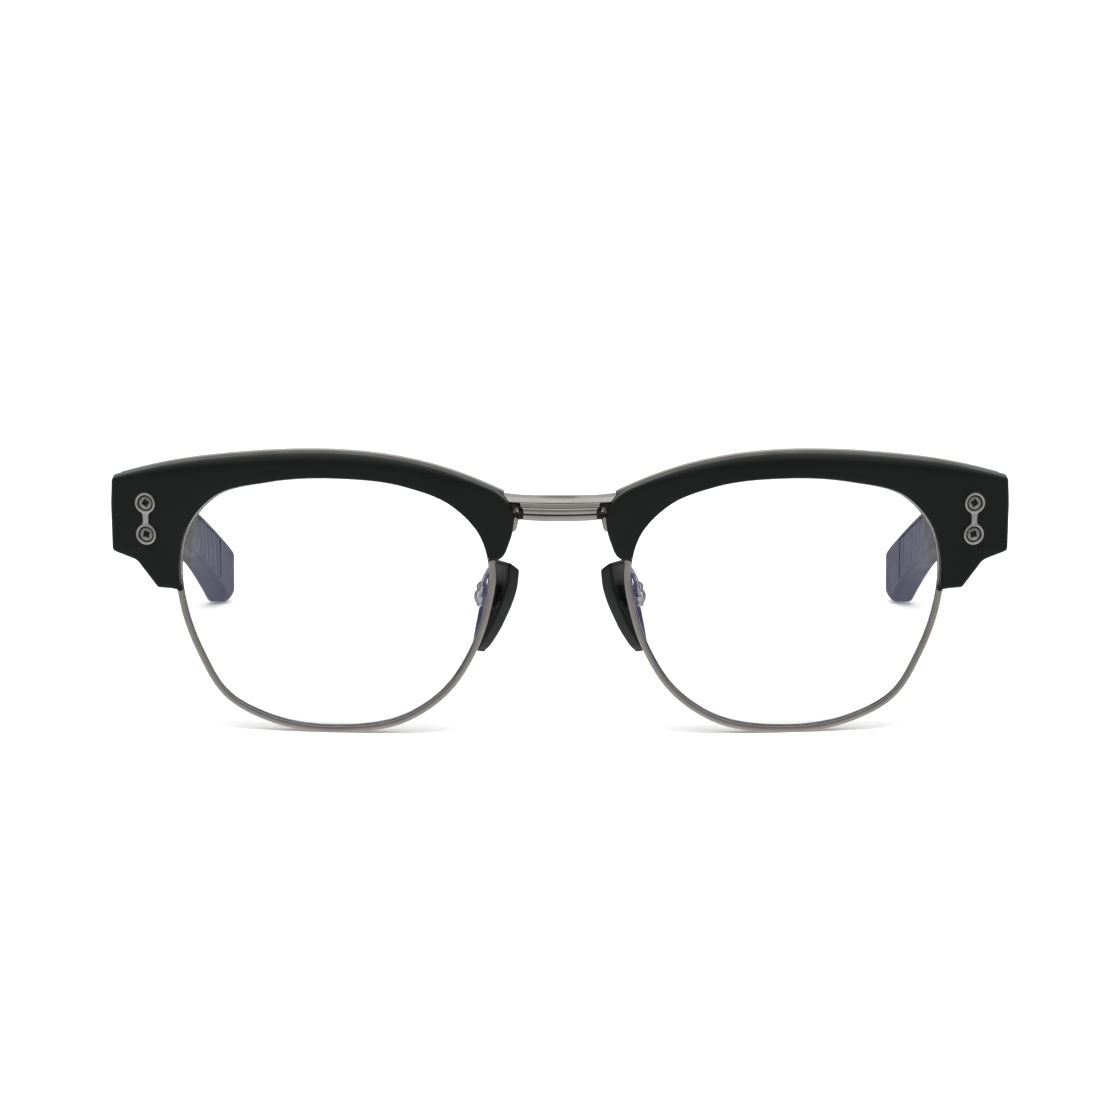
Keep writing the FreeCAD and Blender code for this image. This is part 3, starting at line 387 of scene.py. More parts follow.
BLOCK_MIDDLE = TOP - 15.2
BLOCK_HALF = 1.8
BLOCK_START = TEMPORAL + 0.5
BLOCK_END = TEMPORAL + 3.3
BLOCK_BACK = RIM_BACK + 0.15
BLOCK_EASE = 0.12
SLIT_HALF = 0.15
bm = bmesh.new()
for low_z, high_z in ((-BLOCK_HALF, -SLIT_HALF), (SLIT_HALF, BLOCK_HALF)):
    eased_block(bm, (BLOCK_START, BLOCK_END), (RIM_FRONT, BLOCK_BACK),
                (BLOCK_MIDDLE + low_z, BLOCK_MIDDLE + high_z), BLOCK_EASE,
                lambda x, y, z: on_wrap(x, z, y))
pair("closing_blocks", bm, gunmetal, "front")

# ---- lenses -------------------------------------------------------------------------------------
# A lens is clear resin with a blue-violet anti-reflection coating, slightly domed, with a frosted
# ground edge whose middle bevel snaps into the rim's groove.

LENS_THICKNESS = 1.9
LENS_DOME = 0.55
LENS_LAP = 0.05
LENS_CHAMFER = 0.12
FRONT_CHAMFER = 0.1
BEVEL_DEPTH = GROOVE_DEPTH - 0.12
BEVEL_CLEAR = 0.08             # between the bevel and the sides of the groove, and half its flat
groove_middle = groove_front + GROOVE_WIDTH / 2
lens_front = groove_middle - LENS_THICKNESS / 2
lens_back = lens_front + LENS_THICKNESS
lens_centre = Vector((MIDDLE, (BOTTOM + TOP) / 2))
lens_section = [(-LENS_LAP - LENS_CHAMFER, lens_front), (-LENS_LAP, lens_front + FRONT_CHAMFER),
                (-LENS_LAP, groove_front + BEVEL_CLEAR), (BEVEL_DEPTH, groove_middle - BEVEL_CLEAR),
                (BEVEL_DEPTH, groove_middle + BEVEL_CLEAR), (-LENS_LAP, groove_back - BEVEL_CLEAR),
                (-LENS_LAP, lens_back - LENS_CHAMFER), (-LENS_LAP - LENS_CHAMFER, lens_back)]
coated_lens = new_material("coated_lens", Base_Color=(0.975, 0.978, 0.985, 1), Roughness=0.0,
                           IOR=1.6, Transmission_Weight=1.0, Specular_Tint=(0.47, 0.43, 1.0, 1))
noise_to(coated_lens, "Roughness", 60.0, 0.0, 0.004)
ground_edge = new_material("ground_lens_edge", Base_Color=(0.30, 0.29, 0.36, 1), Roughness=0.5,
                           IOR=1.5)
colour_to(ground_edge, 500.0, (0.22, 0.21, 0.28), (0.42, 0.41, 0.50))
bump_to(ground_edge, 3000.0, 0.01)


def lens_ring(offset, depth, share=1.0):
    """A ring of the lens: its outline at full size, or drawn towards the middle and domed."""
    places = []
    for edge in opening_at(offset):
        p = lens_centre + (edge - lens_centre) * share
        places.append(on_wrap(p.x, p.y, depth - LENS_DOME * (1 - share * share)))
    return places


bm = bmesh.new()
shares = [0.06, 0.3, 0.52, 0.7, 0.84, 0.94]
rings = [lens_ring(*lens_section[0], share=s) for s in shares]
rings += [lens_ring(offset, depth) for offset, depth in lens_section]
rings += [lens_ring(*lens_section[-1], share=s) for s in reversed(shares)]
loops = loft(bm, rings)
edge_loops = loops[len(shares):len(shares) + len(lens_section)]
ground = {v for loop in edge_loops for e in loop for v in e.verts}
for face in bm.faces:
    if all(v in ground for v in face.verts):
        face.material_index = 1
pair("coated_lens", bm, [coated_lens, ground_edge], "front", ["lens"], sharp=20.0)

# ---- brows --------------------------------------------------------------------------------------
# A brow is milled from black acetate: a rounded top edge, a round lobe beside the nose and a
# stepped outer end.  It is seated over the rim and screwed to the chassis bar from behind.

BROW_LIP = 1.45
LIP_REVEAL = 0.15
LIP_SHIFT = 0.2
LIP_EASE = 0.22
BACK_EASE = 0.15
END_EASE = 0.5
CRISP_EDGE = 0.55
TOP_SOFTNESS = 1.15            # how much rounder the front edge gets along the top
LOBE_EDGE = 0.6
BROW_END = 11.65
END_X = TEMPORAL + BROW_END
SEAT = RIM_WIDTH + 0.05
HALF = LENS_WIDTH / 2
BROW_FOOT = TOP - 18.9
LOBE_FOOT = TOP - 13.3
TOP_STEPS = 71
LOBE_STEPS = 39
SIDE_STEP = 0.9


def rounded_run(points, radii, steps=5):
    """Straight runs through the points with their corners rounded."""
    run = [Vector(points[0])]
    for a, b, c, radius in zip(points, points[1:], points[2:], radii):
        a, b, c = Vector(a), Vector(b), Vector(c)
        u, v = (a - b).normalized(), (c - b).normalized()
        half = u.angle(v) / 2
        start, end = b + u * radius / math.tan(half), b + v * radius / math.tan(half)
        reach = radius * 4 / 3 * math.tan((math.pi - 2 * half) / 4)
        run += interpolate_bezier(start, start - u * reach, end - v * reach, end, steps)
    return run + [Vector(points[-1])]


brow_top = [(END_X - 0.7, TOP - 0.72), (TEMPORAL + 2.0, TOP + 1.65), (MIDDLE + 0.69 * HALF, TOP + 3.15),
            (MIDDLE + 0.30 * HALF, TOP + 4.03), (MIDDLE - 0.03 * HALF, TOP + 4.15),
            (MIDDLE - 0.38 * HALF, TOP + 3.35), (MIDDLE - 0.70 * HALF, TOP + 1.55), (NASAL + 0.4, TOP - 1.1)]
brow_lobe = [(NASAL + 0.4, TOP - 1.1), (NASAL - 2.3, TOP - 2.8), (NASAL - 3.85, TOP - 4.9),
             (NASAL - 3.9, TOP - 7.1), (NASAL - 3.1, TOP - 10.3), (NASAL - 2.0, TOP - 12.5),
             (NASAL - 0.2, LOBE_FOOT)]
brow_side = [(TEMPORAL - 0.2, BROW_FOOT), (TEMPORAL + 3.95, TOP - 18.7), (TEMPORAL + 7.4, TOP - 14.3),
             (END_X - 0.2, TOP - 12.9), (END_X, TOP - 5.0), (END_X - 0.15, TOP - 0.95),
             (END_X - 0.7, TOP - 0.72)]
side_run = rounded_run(brow_side, [0.7, 2.2, 0.8, 3.0, 0.55])

top_run = spread(smooth_path(brow_top), TOP_STEPS + 1)
lobe_run = spread(smooth_path(brow_lobe), LOBE_STEPS + 1)
side_even = []
for a, b in zip(side_run, side_run[1:]):
    pieces_here = max(1, int((b - a).length / SIDE_STEP))
    side_even += [a.lerp(b, i / pieces_here) for i in range(pieces_here)]
outer = side_even + top_run[:-1] + lobe_run


def nearest_step(temporal, z):
    """The step of the opening at a height, on its nasal or its temporal side."""
    return min((i for i in range(LENS_STEPS) if (opening[i].x > MIDDLE) == temporal),
               key=lambda i: abs(opening[i].y - z))


start_step = nearest_step(True, BROW_FOOT)
end_step = nearest_step(False, LOBE_FOOT)
span = (end_step - start_step) % LENS_STEPS
inner_path = [opening[(start_step + i) % LENS_STEPS] for i in range(span + 1)]
inner_normals = [inwards[(start_step + i) % LENS_STEPS] for i in range(span + 1)]
# where along the inner path each part of the outer one looks: foot, end, top, lobe
anchors = [(0, 0.0), (len(side_even), 0.27), (len(side_even) + TOP_STEPS, 0.80), (len(outer) - 1, 1.0)]


def inner_share(k):
    """How far along the inner path an outer point looks."""
    for (k0, s0), (k1, s1) in zip(anchors, anchors[1:]):
        if k <= k1:
            return s0 + (s1 - s0) * (k - k0) / (k1 - k0)
    return 1.0


outer_normals = normals_of(outer)


def edge_radius(k):
    """The front edge is soft along the top and crisp round the outer end and the lobe."""
    along_top = (k - len(side_even)) / TOP_STEPS
    if along_top < 0:
        return CRISP_EDGE
    if along_top <= 1:
        return CRISP_EDGE + TOP_SOFTNESS * math.sin(math.pi * min(1.0, along_top * 1.05)) ** 0.6
    return LOBE_EDGE


def brow_station(k, ease_end=(0.0, 0.0)):
    """One closed section of the brow, from its front edge over the lip to the seat and the back."""
    out = outer[k]
    normal = outer_normals[k]
    at = inner_share(k) * span
    i = min(int(at), span - 1)
    base = inner_path[i].lerp(inner_path[i + 1], at - i)
    inner_normal = inner_normals[i].lerp(inner_normals[i + 1], at - i).normalized()
    lip = base - inner_normal * LIP_REVEAL + Vector((LIP_SHIFT, 0))
    seat = base - inner_normal * SEAT
    radius = edge_radius(k)
    set_back, deep = ease_end
    places = []
    for angle in (0, 22.5, 45, 67.5, 90):
        a = math.radians(angle)
        p = out + normal * radius * (1 - math.cos(a))
        places.append((p, max(radius * (1 - math.sin(a)), deep)))
    for share in (0.35, 0.7):
        places.append((places[4][0].lerp(lip - inner_normal * LIP_EASE, share), deep))
    for angle in (90, 60, 30, 0):
        a = math.radians(angle)
        places.append((lip - inner_normal * LIP_EASE * (1 - math.cos(a)),
                       max(LIP_EASE * (1 - math.sin(a)), deep)))
    places += [(lip, BROW_LIP), (seat, BROW_LIP), (seat, RIM_BACK),
               (out + normal * BACK_EASE, RIM_BACK), (out, RIM_BACK - BACK_EASE)]
    return [on_wrap(p.x, p.y + set_back, d) for p, d in places]


acetate = new_material("black_acetate", Base_Color=(0.003, 0.0036, 0.0037, 1), Roughness=0.36,
                       IOR=1.48, Specular_IOR_Level=0.3)
colour_to(acetate, 45.0, (0.0024, 0.0030, 0.0031), (0.0038, 0.0046, 0.0047))
noise_to(acetate, "Roughness", 220.0, 0.30, 0.42)
bump_to(acetate, 900.0, 0.0008)

bm = bmesh.new()
ends = [(END_EASE * (1 - math.cos(math.radians(a))), END_EASE * (1 - math.sin(math.radians(a))))
        for a in (0, 30, 60)]
rings = [brow_station(0, e) for e in ends]
rings += [brow_station(k) for k in range(2, len(outer) - 2)]
rings += [brow_station(len(outer) - 1, e) for e in reversed(ends)]
loft(bm, rings)
pair("acetate_brow", bm, acetate, "front", ["brow"])

# ---- chassis bars -------------------------------------------------------------------------------
# A chassis bar is a gunmetal strip with a rounded top edge, brazed behind the rim.  The brow is
# screwed to it, and it stands just proud of the brow from the bridge to the outer end.

BAR_PROUD = 0.25
BAR_THICKNESS = 1.0
BAR_START = 9.1
BAR_STEP = TEMPORAL + 1.6
BAR_END = END_X - 1.5
BAR_FOOT = TOP - 8.5
BAR_OVER_HINGE = TOP - 2.9
BAR_COUNT = 90
BAR_END_COUNT = 12
STEP_GAP = 0.02                # the step over the hinge is this steep
OVER_LENS = 0.1
LENS_SPAN = 0.2
ARC_STEPS = 8
lifts = [0.2, 0.6] + [1.0] * (len(brow_top) - 2)
bar_top = smooth_path([(x, z + BAR_PROUD * lift) for (x, z), lift in zip(brow_top, lifts)])[::-1]


def bar_edge(x):
    """Height of the bar's top edge."""
    for a, b in zip(bar_top, bar_top[1:]):
        if a.x <= x <= b.x:
            return a.y + (b.y - a.y) * (x - a.x) / (b.x - a.x)
    a, b = (bar_top[0], bar_top[1]) if x < bar_top[0].x else (bar_top[-2], bar_top[-1])
    return a.y + (b.y - a.y) * (x - a.x) / (b.x - a.x)


def bar_foot(x):
    """Height of the bar's lower edge: round the lens opening, or over the hinge."""
    if x > BAR_STEP:
        return BAR_OVER_HINGE
    over = [p.y + OVER_LENS for p, q in zip(opening, opening[1:] + opening[:1])
            if min(p.x, q.x) - LENS_SPAN <= x <= max(p.x, q.x) + LENS_SPAN]
    return max([BAR_FOOT] + over)


def bar_ring(x):
    """A section of the bar with a round top edge."""
    top, foot = bar_edge(x), bar_foot(x)
    half = BAR_THICKNESS / 2
    places = [on_wrap(x, foot, RIM_BACK)]
    for k in range(ARC_STEPS + 1):
        a = math.pi * k / ARC_STEPS
        places.append(on_wrap(x, top - half + half * math.sin(a), RIM_BACK + half - half * math.cos(a)))
    return places + [on_wrap(x, foot, RIM_BACK + BAR_THICKNESS)]


bm = bmesh.new()
bar_stops = [BAR_START + (BAR_STEP - BAR_START) * i / BAR_COUNT for i in range(BAR_COUNT + 1)]
bar_stops += [BAR_STEP + STEP_GAP + (BAR_END - BAR_STEP) * i / BAR_END_COUNT
              for i in range(BAR_END_COUNT + 1)]
loft(bm, [bar_ring(x) for x in bar_stops])
pair("round_topped_bar", bm, gunmetal, "front", ["chassis_bar"])

# ---- bridge -------------------------------------------------------------------------------------
# The bridge is a milled gunmetal bar: a sloping top plate over three bands with grooves between them,
# the shade in each groove painted by a thin black strip; black joint blocks hold it.  The plate behind, with
# two lugs, is brazed on.

BRIDGE_STEPS = 33


def straight(x, y, z):
    """A place in metres beside the plane of symmetry: sideways, behind the front line, up."""
    return Vector((x, y + FRONT_Y, z + TABLE_Z)) * MM


def bowed_bar(bm, section):
    """A bar from side to side; each point of its section has a half length, y, z and a sag."""
    rings = []
    for i in range(BRIDGE_STEPS):
        s = 2 * i / (BRIDGE_STEPS - 1) - 1
        rings.append([straight(s * half, y, z - sag * (1 - s * s)) for half, y, z, sag in section])
    loft(bm, rings)


def slab(bm, outline, near, far, ease, place):
    """A flat outline given thickness, with rounded edges on both faces, set in its place."""
    turn = sum(a.x * b.y - b.x * a.y for a, b in zip(outline, outline[1:] + outline[:1]))
    side = normals_of(outline, closed=True)
    rings = []
    for angle in (0, 30, 60, 90, 90, 120, 150, 180):
        a = math.radians(angle)
        inset = ease * (1 - math.sin(a)) * (1 if turn > 0 else -1)
        depth = near + ease * (1 - math.cos(a)) if len(rings) < 4 else far - ease * (1 + math.cos(a))
        rings.append([place(p.x + n.x * inset, p.y + n.y * inset, depth) for p, n in zip(outline, side)])
    loft(bm, rings)


bm = bmesh.new()
bowed_bar(bm, [(9.5, 4.95, 39.52, 0.62), (9.45, 4.75, 39.6, 0.62), (8.4, 1.0, 38.72, 0.2),
               (8.35, 0.86, 38.68, 0.2), (8.3, 0.8, 38.6, 0.2), (8.3, 0.86, 38.52, 0.2),
               (8.3, 1.3, 38.44, 0.2), (9.2, 4.95, 38.6, 0.3)])
bowed_bar(bm, [(6.5, 1.1, 38.5, 0.17), (6.5, 0.6, 38.47, 0.17), (6.5, 0.52, 38.4, 0.17),
               (6.35, 0.52, 37.8, 0.17), (6.3, 0.58, 37.72, 0.17), (6.15, 0.52, 37.66, 0.17),
               (6.05, 0.38, 37.56, 0.17), (6.0, 0.31, 37.4, 0.17), (5.95, 0.29, 37.2, 0.17),
               (5.9, 0.31, 36.95, 0.17), (5.9, 0.36, 36.78, 0.17), (5.9, 0.48, 36.7, 0.17),
               (5.9, 1.2, 36.67, 0.17), (5.9, 1.2, 36.53, 0.17), (5.92, 0.58, 36.5, 0.17),
               (5.94, 0.5, 36.42, 0.17), (6.0, 0.5, 35.8, 0.22), (6.0, 0.6, 35.64, 0.22),
               (6.0, 1.1, 35.56, 0.22), (6.4, 4.9, 35.7, 0.1), (6.5, 4.9, 38.6, 0.3)])
LUG_FOOT = TOP - 8.9
PLATE_FOOT = TOP - 6.0
PLATE_THICKNESS = 1.0
PLATE_EASE = 0.14
plate_corners = [(0, TOP - 3.3), (8.95, TOP - 2.9), (9.1, TOP - 3.2), (9.1, LUG_FOOT),
                 (7.2, LUG_FOOT), (6.5, PLATE_FOOT), (0, PLATE_FOOT)]
plate_half = rounded_run(plate_corners, [0.15, 0.25, 0.9, 0.8, 0.7])[1:-1]
lug_plate = plate_half + [Vector((-p.x, p.y)) for p in reversed(plate_half)]
slab(bm, lug_plate, RIM_BACK, RIM_BACK + PLATE_THICKNESS, PLATE_EASE, on_wrap)
finish_piece("bridge_bar", bm, gunmetal, "front", ["bridge"])
bm.free()

# The joint blocks' dark metal, also used for the strips that paint the shade in the bridge's grooves.
joint_black_and_groove_shade = new_material("black_joints_and_painted_groove_shade", Base_Color=(0.02, 0.02, 0.018, 1), Metallic=0.7,
                         Roughness=0.3)
colour_to(joint_black_and_groove_shade, 400.0, (0.014, 0.014, 0.012), (0.028, 0.027, 0.024))
noise_to(joint_black_and_groove_shade, "Roughness", 700.0, 0.22, 0.4)

# Painted shade: thin black strips laid in the bridge's two grooves darken them where shade falls.
GROOVE_BACK = 2.0
bm = bmesh.new()
# half length, front, lower edge, upper edge and sag of the black strip in each groove, which paints its
# shade
for half, near, low_z, high_z, sag in ((7.6, 0.64, 38.42, 38.55, 0.2), (5.95, 0.55, 36.52, 36.7, 0.19)):
    bowed_bar(bm, [(half, near, high_z, sag), (half, near, low_z, sag),
                   (half, GROOVE_BACK, low_z, sag), (half, GROOVE_BACK, high_z, sag)])
finish_piece("bridge_groove_painted_shade", bm, joint_black_and_groove_shade, "front", [])
bm.free()

JOINT_BACK = 4.5
# sideways from and to, front, up from and to, eased edge, lean of the outer end
joint_blocks = [(6.3, 7.75, 0.8, 37.4, 38.36, 0.1, 0.4), (5.6, 7.1, 0.6, 36.5, 37.3, 0.1, 0.35),
                (5.75, 7.0, 0.7, 35.7, 36.55, 0.12, -0.2), (6.9, 7.9, 1.2, 35.9, 37.5, 0.12, 0.0)]
joint_keys = [(6.6, 7.05, 0.5, 36.95, 37.75, 0.1, 0.3), (7.35, 7.65, 0.9, 36.7, 37.9, 0.1, -0.15)]
for name, blocks, metal in (("joint_blocks", joint_blocks, joint_black_and_groove_shade), ("joint_keys", joint_keys, gunmetal)):
    bm = bmesh.new()
    for start, end, near, low_z, high_z, ease, lean in blocks:
        eased_block(bm, (start, end), (near, JOINT_BACK), (low_z, high_z), ease, straight, lean)
    pair(name, bm, metal, "front")

# ---- rivet plates -------------------------------------------------------------------------------
# A rivet plate is a small polished pressing: two raised rings joined by a flared neck, let into the
# brow.  Through each ring a screw with a square socket clamps the brow to the hinge behind it.

RIVET_PITCH = 5.15
RIVET_X = TEMPORAL + 5.8
RIVET_Z = TOP - 7.3
RIVET_LEAN = 0.03
RING_RADIUS = 1.75
RING_BORE = 1.3
BORE_FLOOR = -0.3
PLATE_BACK = -0.5
NECK_HALF = 0.5
NECK_HEIGHT = 0.3
NECK_EASE = 0.1
NECK_REACH = 1.4               # how far from a ring's centre the neck runs into it
SAME_POINT = 0.01
FLARE = 0.6
polished = new_material("polished_plating", Metallic=1.0, Roughness=0.12)
colour_to(polished, 300.0, (0.60, 0.585, 0.57), (0.68, 0.665, 0.645))
noise_to(polished, "Roughness", 700.0, 0.08, 0.18)
screw_steel = new_material("screw_steel", Metallic=1.0, Roughness=0.2)
colour_to(screw_steel, 500.0, (0.40, 0.395, 0.39), (0.48, 0.475, 0.465))
noise_to(screw_steel, "Roughness", 900.0, 0.14, 0.26)


def on_rivet(x, z, height):
    """A place in the rivet plate's own frame, set on the brow's face; height is out of the face."""
    angle = math.asin(RIVET_X / WRAP_RADIUS)
    out = Vector((math.sin(angle), -math.cos(angle)))
    along = Vector((math.cos(angle), math.sin(angle)))
    spot = Vector((0, WRAP_RADIUS)) + out * (WRAP_RADIUS + height) + along * (x + RIVET_LEAN * z)
    return Vector((spot.x, spot.y + FRONT_Y, RIVET_Z + z + TABLE_Z)) * MM


def fan(centre, radius, start, end, count):
    """Points of an arc, by its angles in degrees."""
    spots = []
    for i in range(count):
        a = math.radians(start + (end - start) * i / (count - 1))
        spots.append(Vector(centre) + Vector((math.cos(a), math.sin(a))) * radius)
    return spots


def turned(bm, profile, centre, place, count=40, square=(), turn=0.0, closed=False):
    """A turned shape from rings of (radius, height); the rings named in square are square."""
    rings = []
    for k, (radius, height) in enumerate(profile):
        places = []
        for i in range(count):
            a = 2 * math.pi * i / count
            u, w = math.cos(a), math.sin(a)
            reach = radius / max(abs(u), abs(w)) if k in square else radius
            b = a + math.radians(turn)
            places.append(place(centre[0] + reach * math.cos(b), centre[1] + reach * math.sin(b), height))
        rings.append(places)
    loft(bm, rings, closed=closed)


half_pitch = RIVET_PITCH / 2
flare_drop = math.sqrt((RING_RADIUS + FLARE) ** 2 - (NECK_HALF + FLARE) ** 2)
flare_angle = math.degrees(math.atan2(flare_drop, NECK_HALF + FLARE))
flare_z = half_pitch - flare_drop
bm = bmesh.new()
ring_profile = [(RING_RADIUS, PLATE_BACK), (RING_RADIUS, 0.2), (1.71, 0.29), (1.62, 0.34), (1.46, 0.35),
                (1.36, 0.31), (RING_BORE, 0.22), (RING_BORE, BORE_FLOOR), (0.9, BORE_FLOOR),
                (0.9, PLATE_BACK)]
for end in (-1, 1):
    turned(bm, ring_profile, (0, end * half_pitch), on_rivet, closed=True)
quarter = fan((NECK_HALF + FLARE, flare_z), FLARE, 180, 180 - flare_angle, 7)
quarter += fan((0, half_pitch), NECK_REACH, -flare_angle, -90, 5)
right_half = [Vector((p.x, -p.y)) for p in reversed(quarter[:-1])] + quarter
neck = right_half + [Vector((-p.x, p.y)) for p in reversed(right_half[:-1])]
neck = [p for i, p in enumerate(neck) if i == 0 or (p - neck[i - 1]).length > SAME_POINT]
slab(bm, neck, PLATE_BACK, NECK_HEIGHT, NECK_EASE, on_rivet)
pair("ringed_plate", bm, polished, "front", ["rivet_plate"])

# shank, head and then the socket, whose last three rings are square
screw_profile = [(0.68, -4.9), (0.68, -0.28), (1.1, -0.28), (1.1, 0.05), (1.06, 0.11), (0.98, 0.14),
                 (0.54, 0.13), (0.5, 0.1), (0.47, -0.04)]
bm = bmesh.new()
for end, turn in ((-1, 12.0), (1, 33.0)):
    turned(bm, screw_profile, (0, end * half_pitch), on_rivet, square=(6, 7, 8), turn=turn)
pair("socket_screws", bm, screw_steel, "front", ["plate_screws"])

# ---- nose pads ----------------------------------------------------------------------------------
# A nose pad is moulded glossy black plastic, flat on top and rounded at its foot.  It rocks on a
# pin through a polished barrel at the end of a wire arm, which is brazed to the rim.

PAD_TURN = math.radians(28.0)
PAD_INNER = 6.7
PAD_FRONT = 5.4
PAD_HEAD = TOP - 15.55
PAD_BAND = 1.9
PAD_CORNER = 0.55
PAD_RINGS = 26
HEAD_EASE = 0.24
CORNER_STEPS = 6
pad_along = Vector((math.sin(PAD_TURN), math.cos(PAD_TURN)))
pad_out = Vector((math.cos(PAD_TURN), -math.sin(PAD_TURN)))
# height below the head, sideways shift, front edge, rear edge, rise of the section outwards
pad_stations = [(0.3, 0.0, -0.5, 6.5, 1.4), (-2.5, 0.3, -0.47, 6.9, 1.2), (-5.2, 1.1, -0.44, 6.8, 1.0),
                (-7.3, 2.0, -0.42, 6.5, 0.9), (-9.3, 2.9, -0.38, 5.5, 0.75), (-11.0, 3.75, -0.1, 4.45, 0.6),
                (-12.4, 4.4, 0.4, 3.6, 0.5), (-13.1, 4.75, 1.0, 2.9, 0.4)]


def pad_station(at):
    """The stations' values at a share of the pad's height, by smooth blending between them."""
    last = len(pad_stations) - 1
    k = min(int(at * last), last - 1)
    t = at * last - k
    around_t = [pad_stations[max(0, k - 1)], pad_stations[k], pad_stations[k + 1],
                pad_stations[min(last, k + 2)]]
    return [0.5 * (2 * b + (c - a) * t + (2 * a - 5 * b + 4 * c - d) * t * t
                   + (3 * b - a - 3 * c + d) * t ** 3)
            for a, b, c, d in zip(*around_t)]


def pad_ring(at, inset, drop):
    """A rounded-rectangle section of the pad, drawn in by an amount and lowered."""
    height, shift, front, rear, rise = pad_station(at)
    radius = PAD_CORNER - inset
    places = []
    for across, lengthways, start in ((1, 1, 0), (0, 1, 90), (0, 0, 180), (1, 0, 270)):
        for k in range(CORNER_STEPS):
            a = math.radians(start + 15 * k + 7.5)
            t = PAD_CORNER + (PAD_BAND - 2 * PAD_CORNER) * across + radius * math.cos(a)
            u = (rear - PAD_CORNER if lengthways else front + PAD_CORNER) + radius * math.sin(a)
            flat = Vector((PAD_INNER + shift, PAD_FRONT)) + pad_out * t + pad_along * u
            z = PAD_HEAD + height + rise * (t - PAD_BAND / 2) / PAD_BAND + rise / 2 - drop
            places.append(straight(flat.x, flat.y, z))
    return places


bm = bmesh.new()
rings = [pad_ring(0.0, 0.28, 0.0), pad_ring(0.0, 0.1, 0.06), pad_ring(0.0, 0.0, HEAD_EASE)]
rings += [pad_ring(i / PAD_RINGS, 0.0, HEAD_EASE * (1 - i / PAD_RINGS)) for i in range(1, PAD_RINGS)]
rings += [pad_ring(1.0, inset, drop)
          for inset, drop in ((0.02, 0.0), (0.14, 0.25), (0.34, 0.4), (0.5, 0.44))]
loft(bm, rings)
pad_black = new_material("nose_pad_black", Base_Color=(0.007, 0.008, 0.008, 1), Roughness=0.2,
                         IOR=1.5, Specular_IOR_Level=0.5)
colour_to(pad_black, 90.0, (0.005, 0.006, 0.006), (0.008, 0.009, 0.009))
noise_to(pad_black, "Roughness", 300.0, 0.16, 0.28)
pair("moulded_pad", bm, pad_black, "nose_pad_body", ["nose_pad"], sharp=50.0)

ARM_RADIUS = 0.45
ARM_STEPS = 36
KNOB_RADIUS = 1.3
KNOB_HALF = 1.6
KNOB_DROP = 0.2
ROOT_Z = TOP - 14.6
pin_low, pin_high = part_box("left_pad_pin")
PIN_X = (pin_low.x + pin_high.x) / 2 / MM
PIN_Y = (pin_low.y + pin_high.y) / 2 / MM - FRONT_Y
PIN_Z = TOP - 19.6
root_x = opening[nearest_step(False, ROOT_Z)].x - RIM_WIDTH / 2
root_y = WRAP_RADIUS - math.sqrt((WRAP_RADIUS - RIM_BACK) ** 2 - root_x ** 2)
lane = PIN_Y - 1.75
arm_line = [Vector(p) for p in ((root_x, root_y - 0.05, ROOT_Z), (root_x + 0.5, lane - 0.05, TOP - 15.1),
                                (PIN_X - 0.5, lane, PIN_Z + 3.0), (PIN_X, lane, PIN_Z + 0.9),
                                (PIN_X, PIN_Y - 0.6, PIN_Z))]


def tube(bm, path, radius, count=14):
    """A round wire along a path of places in millimetres."""
    angles = [2 * math.pi * k / count for k in range(count)]
    rings = []
    side = Vector((1, 0, 0))
    for i, point in enumerate(path):
        ahead = (path[min(i + 1, len(path) - 1)] - path[max(i - 1, 0)]).normalized()
        side = (side - ahead * side.dot(ahead)).normalized()
        other = ahead.cross(side)
        rings.append([straight(*(point + (side * math.cos(a) + other * math.sin(a)) * radius))
                      for a in angles])
    loft(bm, rings)


bm = bmesh.new()
tube(bm, spread(smooth_path(arm_line), ARM_STEPS), ARM_RADIUS)
knob = [(KNOB_RADIUS * math.sin(math.radians(a)), -KNOB_HALF * math.cos(math.radians(a)))
        for a in range(20, 161, 7)]
turned(bm, knob, (0, 0),
       lambda x, y, height: straight(PIN_X + x, PIN_Y + y, PIN_Z - KNOB_DROP + height))
arm_plating = new_material("arm_plating", Metallic=1.0, Roughness=0.16)
colour_to(arm_plating, 500.0, (0.24, 0.235, 0.24), (0.32, 0.315, 0.32))
noise_to(arm_plating, "Roughness", 700.0, 0.12, 0.22)
pair("wire_arm", bm, arm_plating, "front", ["pad_arm"])

# ---- temples ------------------------------------------------------------------------------------
# A temple is milled from black acetate, thick at the hinge, slim at the bend and wide again at its
# tip, with rounded edges.  A ribbed panel is let into the inner side of the tip.

TEMPLE_START = 16.3
TEMPLE_END = 143.0
TEMPLE_BEND = 100.0
TEMPLE_MIDDLE = 58.1
EDGE_START = 16.2              # where the drawn edges begin, just in front of the arm itself
TEMPLE_FACE = END_X + 0.2
TEMPLE_SLOPE = 0.0416
TEMPLE_CURL = 0.0026
TEMPLE_THICKNESS = 4.3
TEMPLE_HALF = 5.05
BEND_TOP = 24.5
BEND_LOW = 16.9
TIP_HIGH = 9.9
TIP_LOW = 0.31
HIGH_CORNER = 3.0              # length of the tip's rounded corners, and their height
HIGH_CORNER_DROP = 1.6
LOW_CORNER = 4.0
LOW_CORNER_RISE = 2.1
TEMPLE_ROUND = 1.15
SIDE_PLATE_END = 45.2
SIDE_PLATE_SEAT = 0.41
PANEL_START = 114.0
PANEL_END = 133.5
PANEL_SUNK = 0.35
HIGH_LAND = 0.02               # between the panel and the rounded edges of the temple
LOW_LAND = 0.05
RECESS_GAP = 0.04
RECESS_DRAFT = 0.02
FLUSH = 0.002                  # every section has the recess's corners, even where there is none
START_MIDDLE = TOP - 6.9
high_end = TEMPLE_END - HIGH_CORNER_DROP
high_start = TEMPLE_END - HIGH_CORNER
low_start = TEMPLE_END - LOW_CORNER
start_top = START_MIDDLE + TEMPLE_HALF
start_low = START_MIDDLE - TEMPLE_HALF
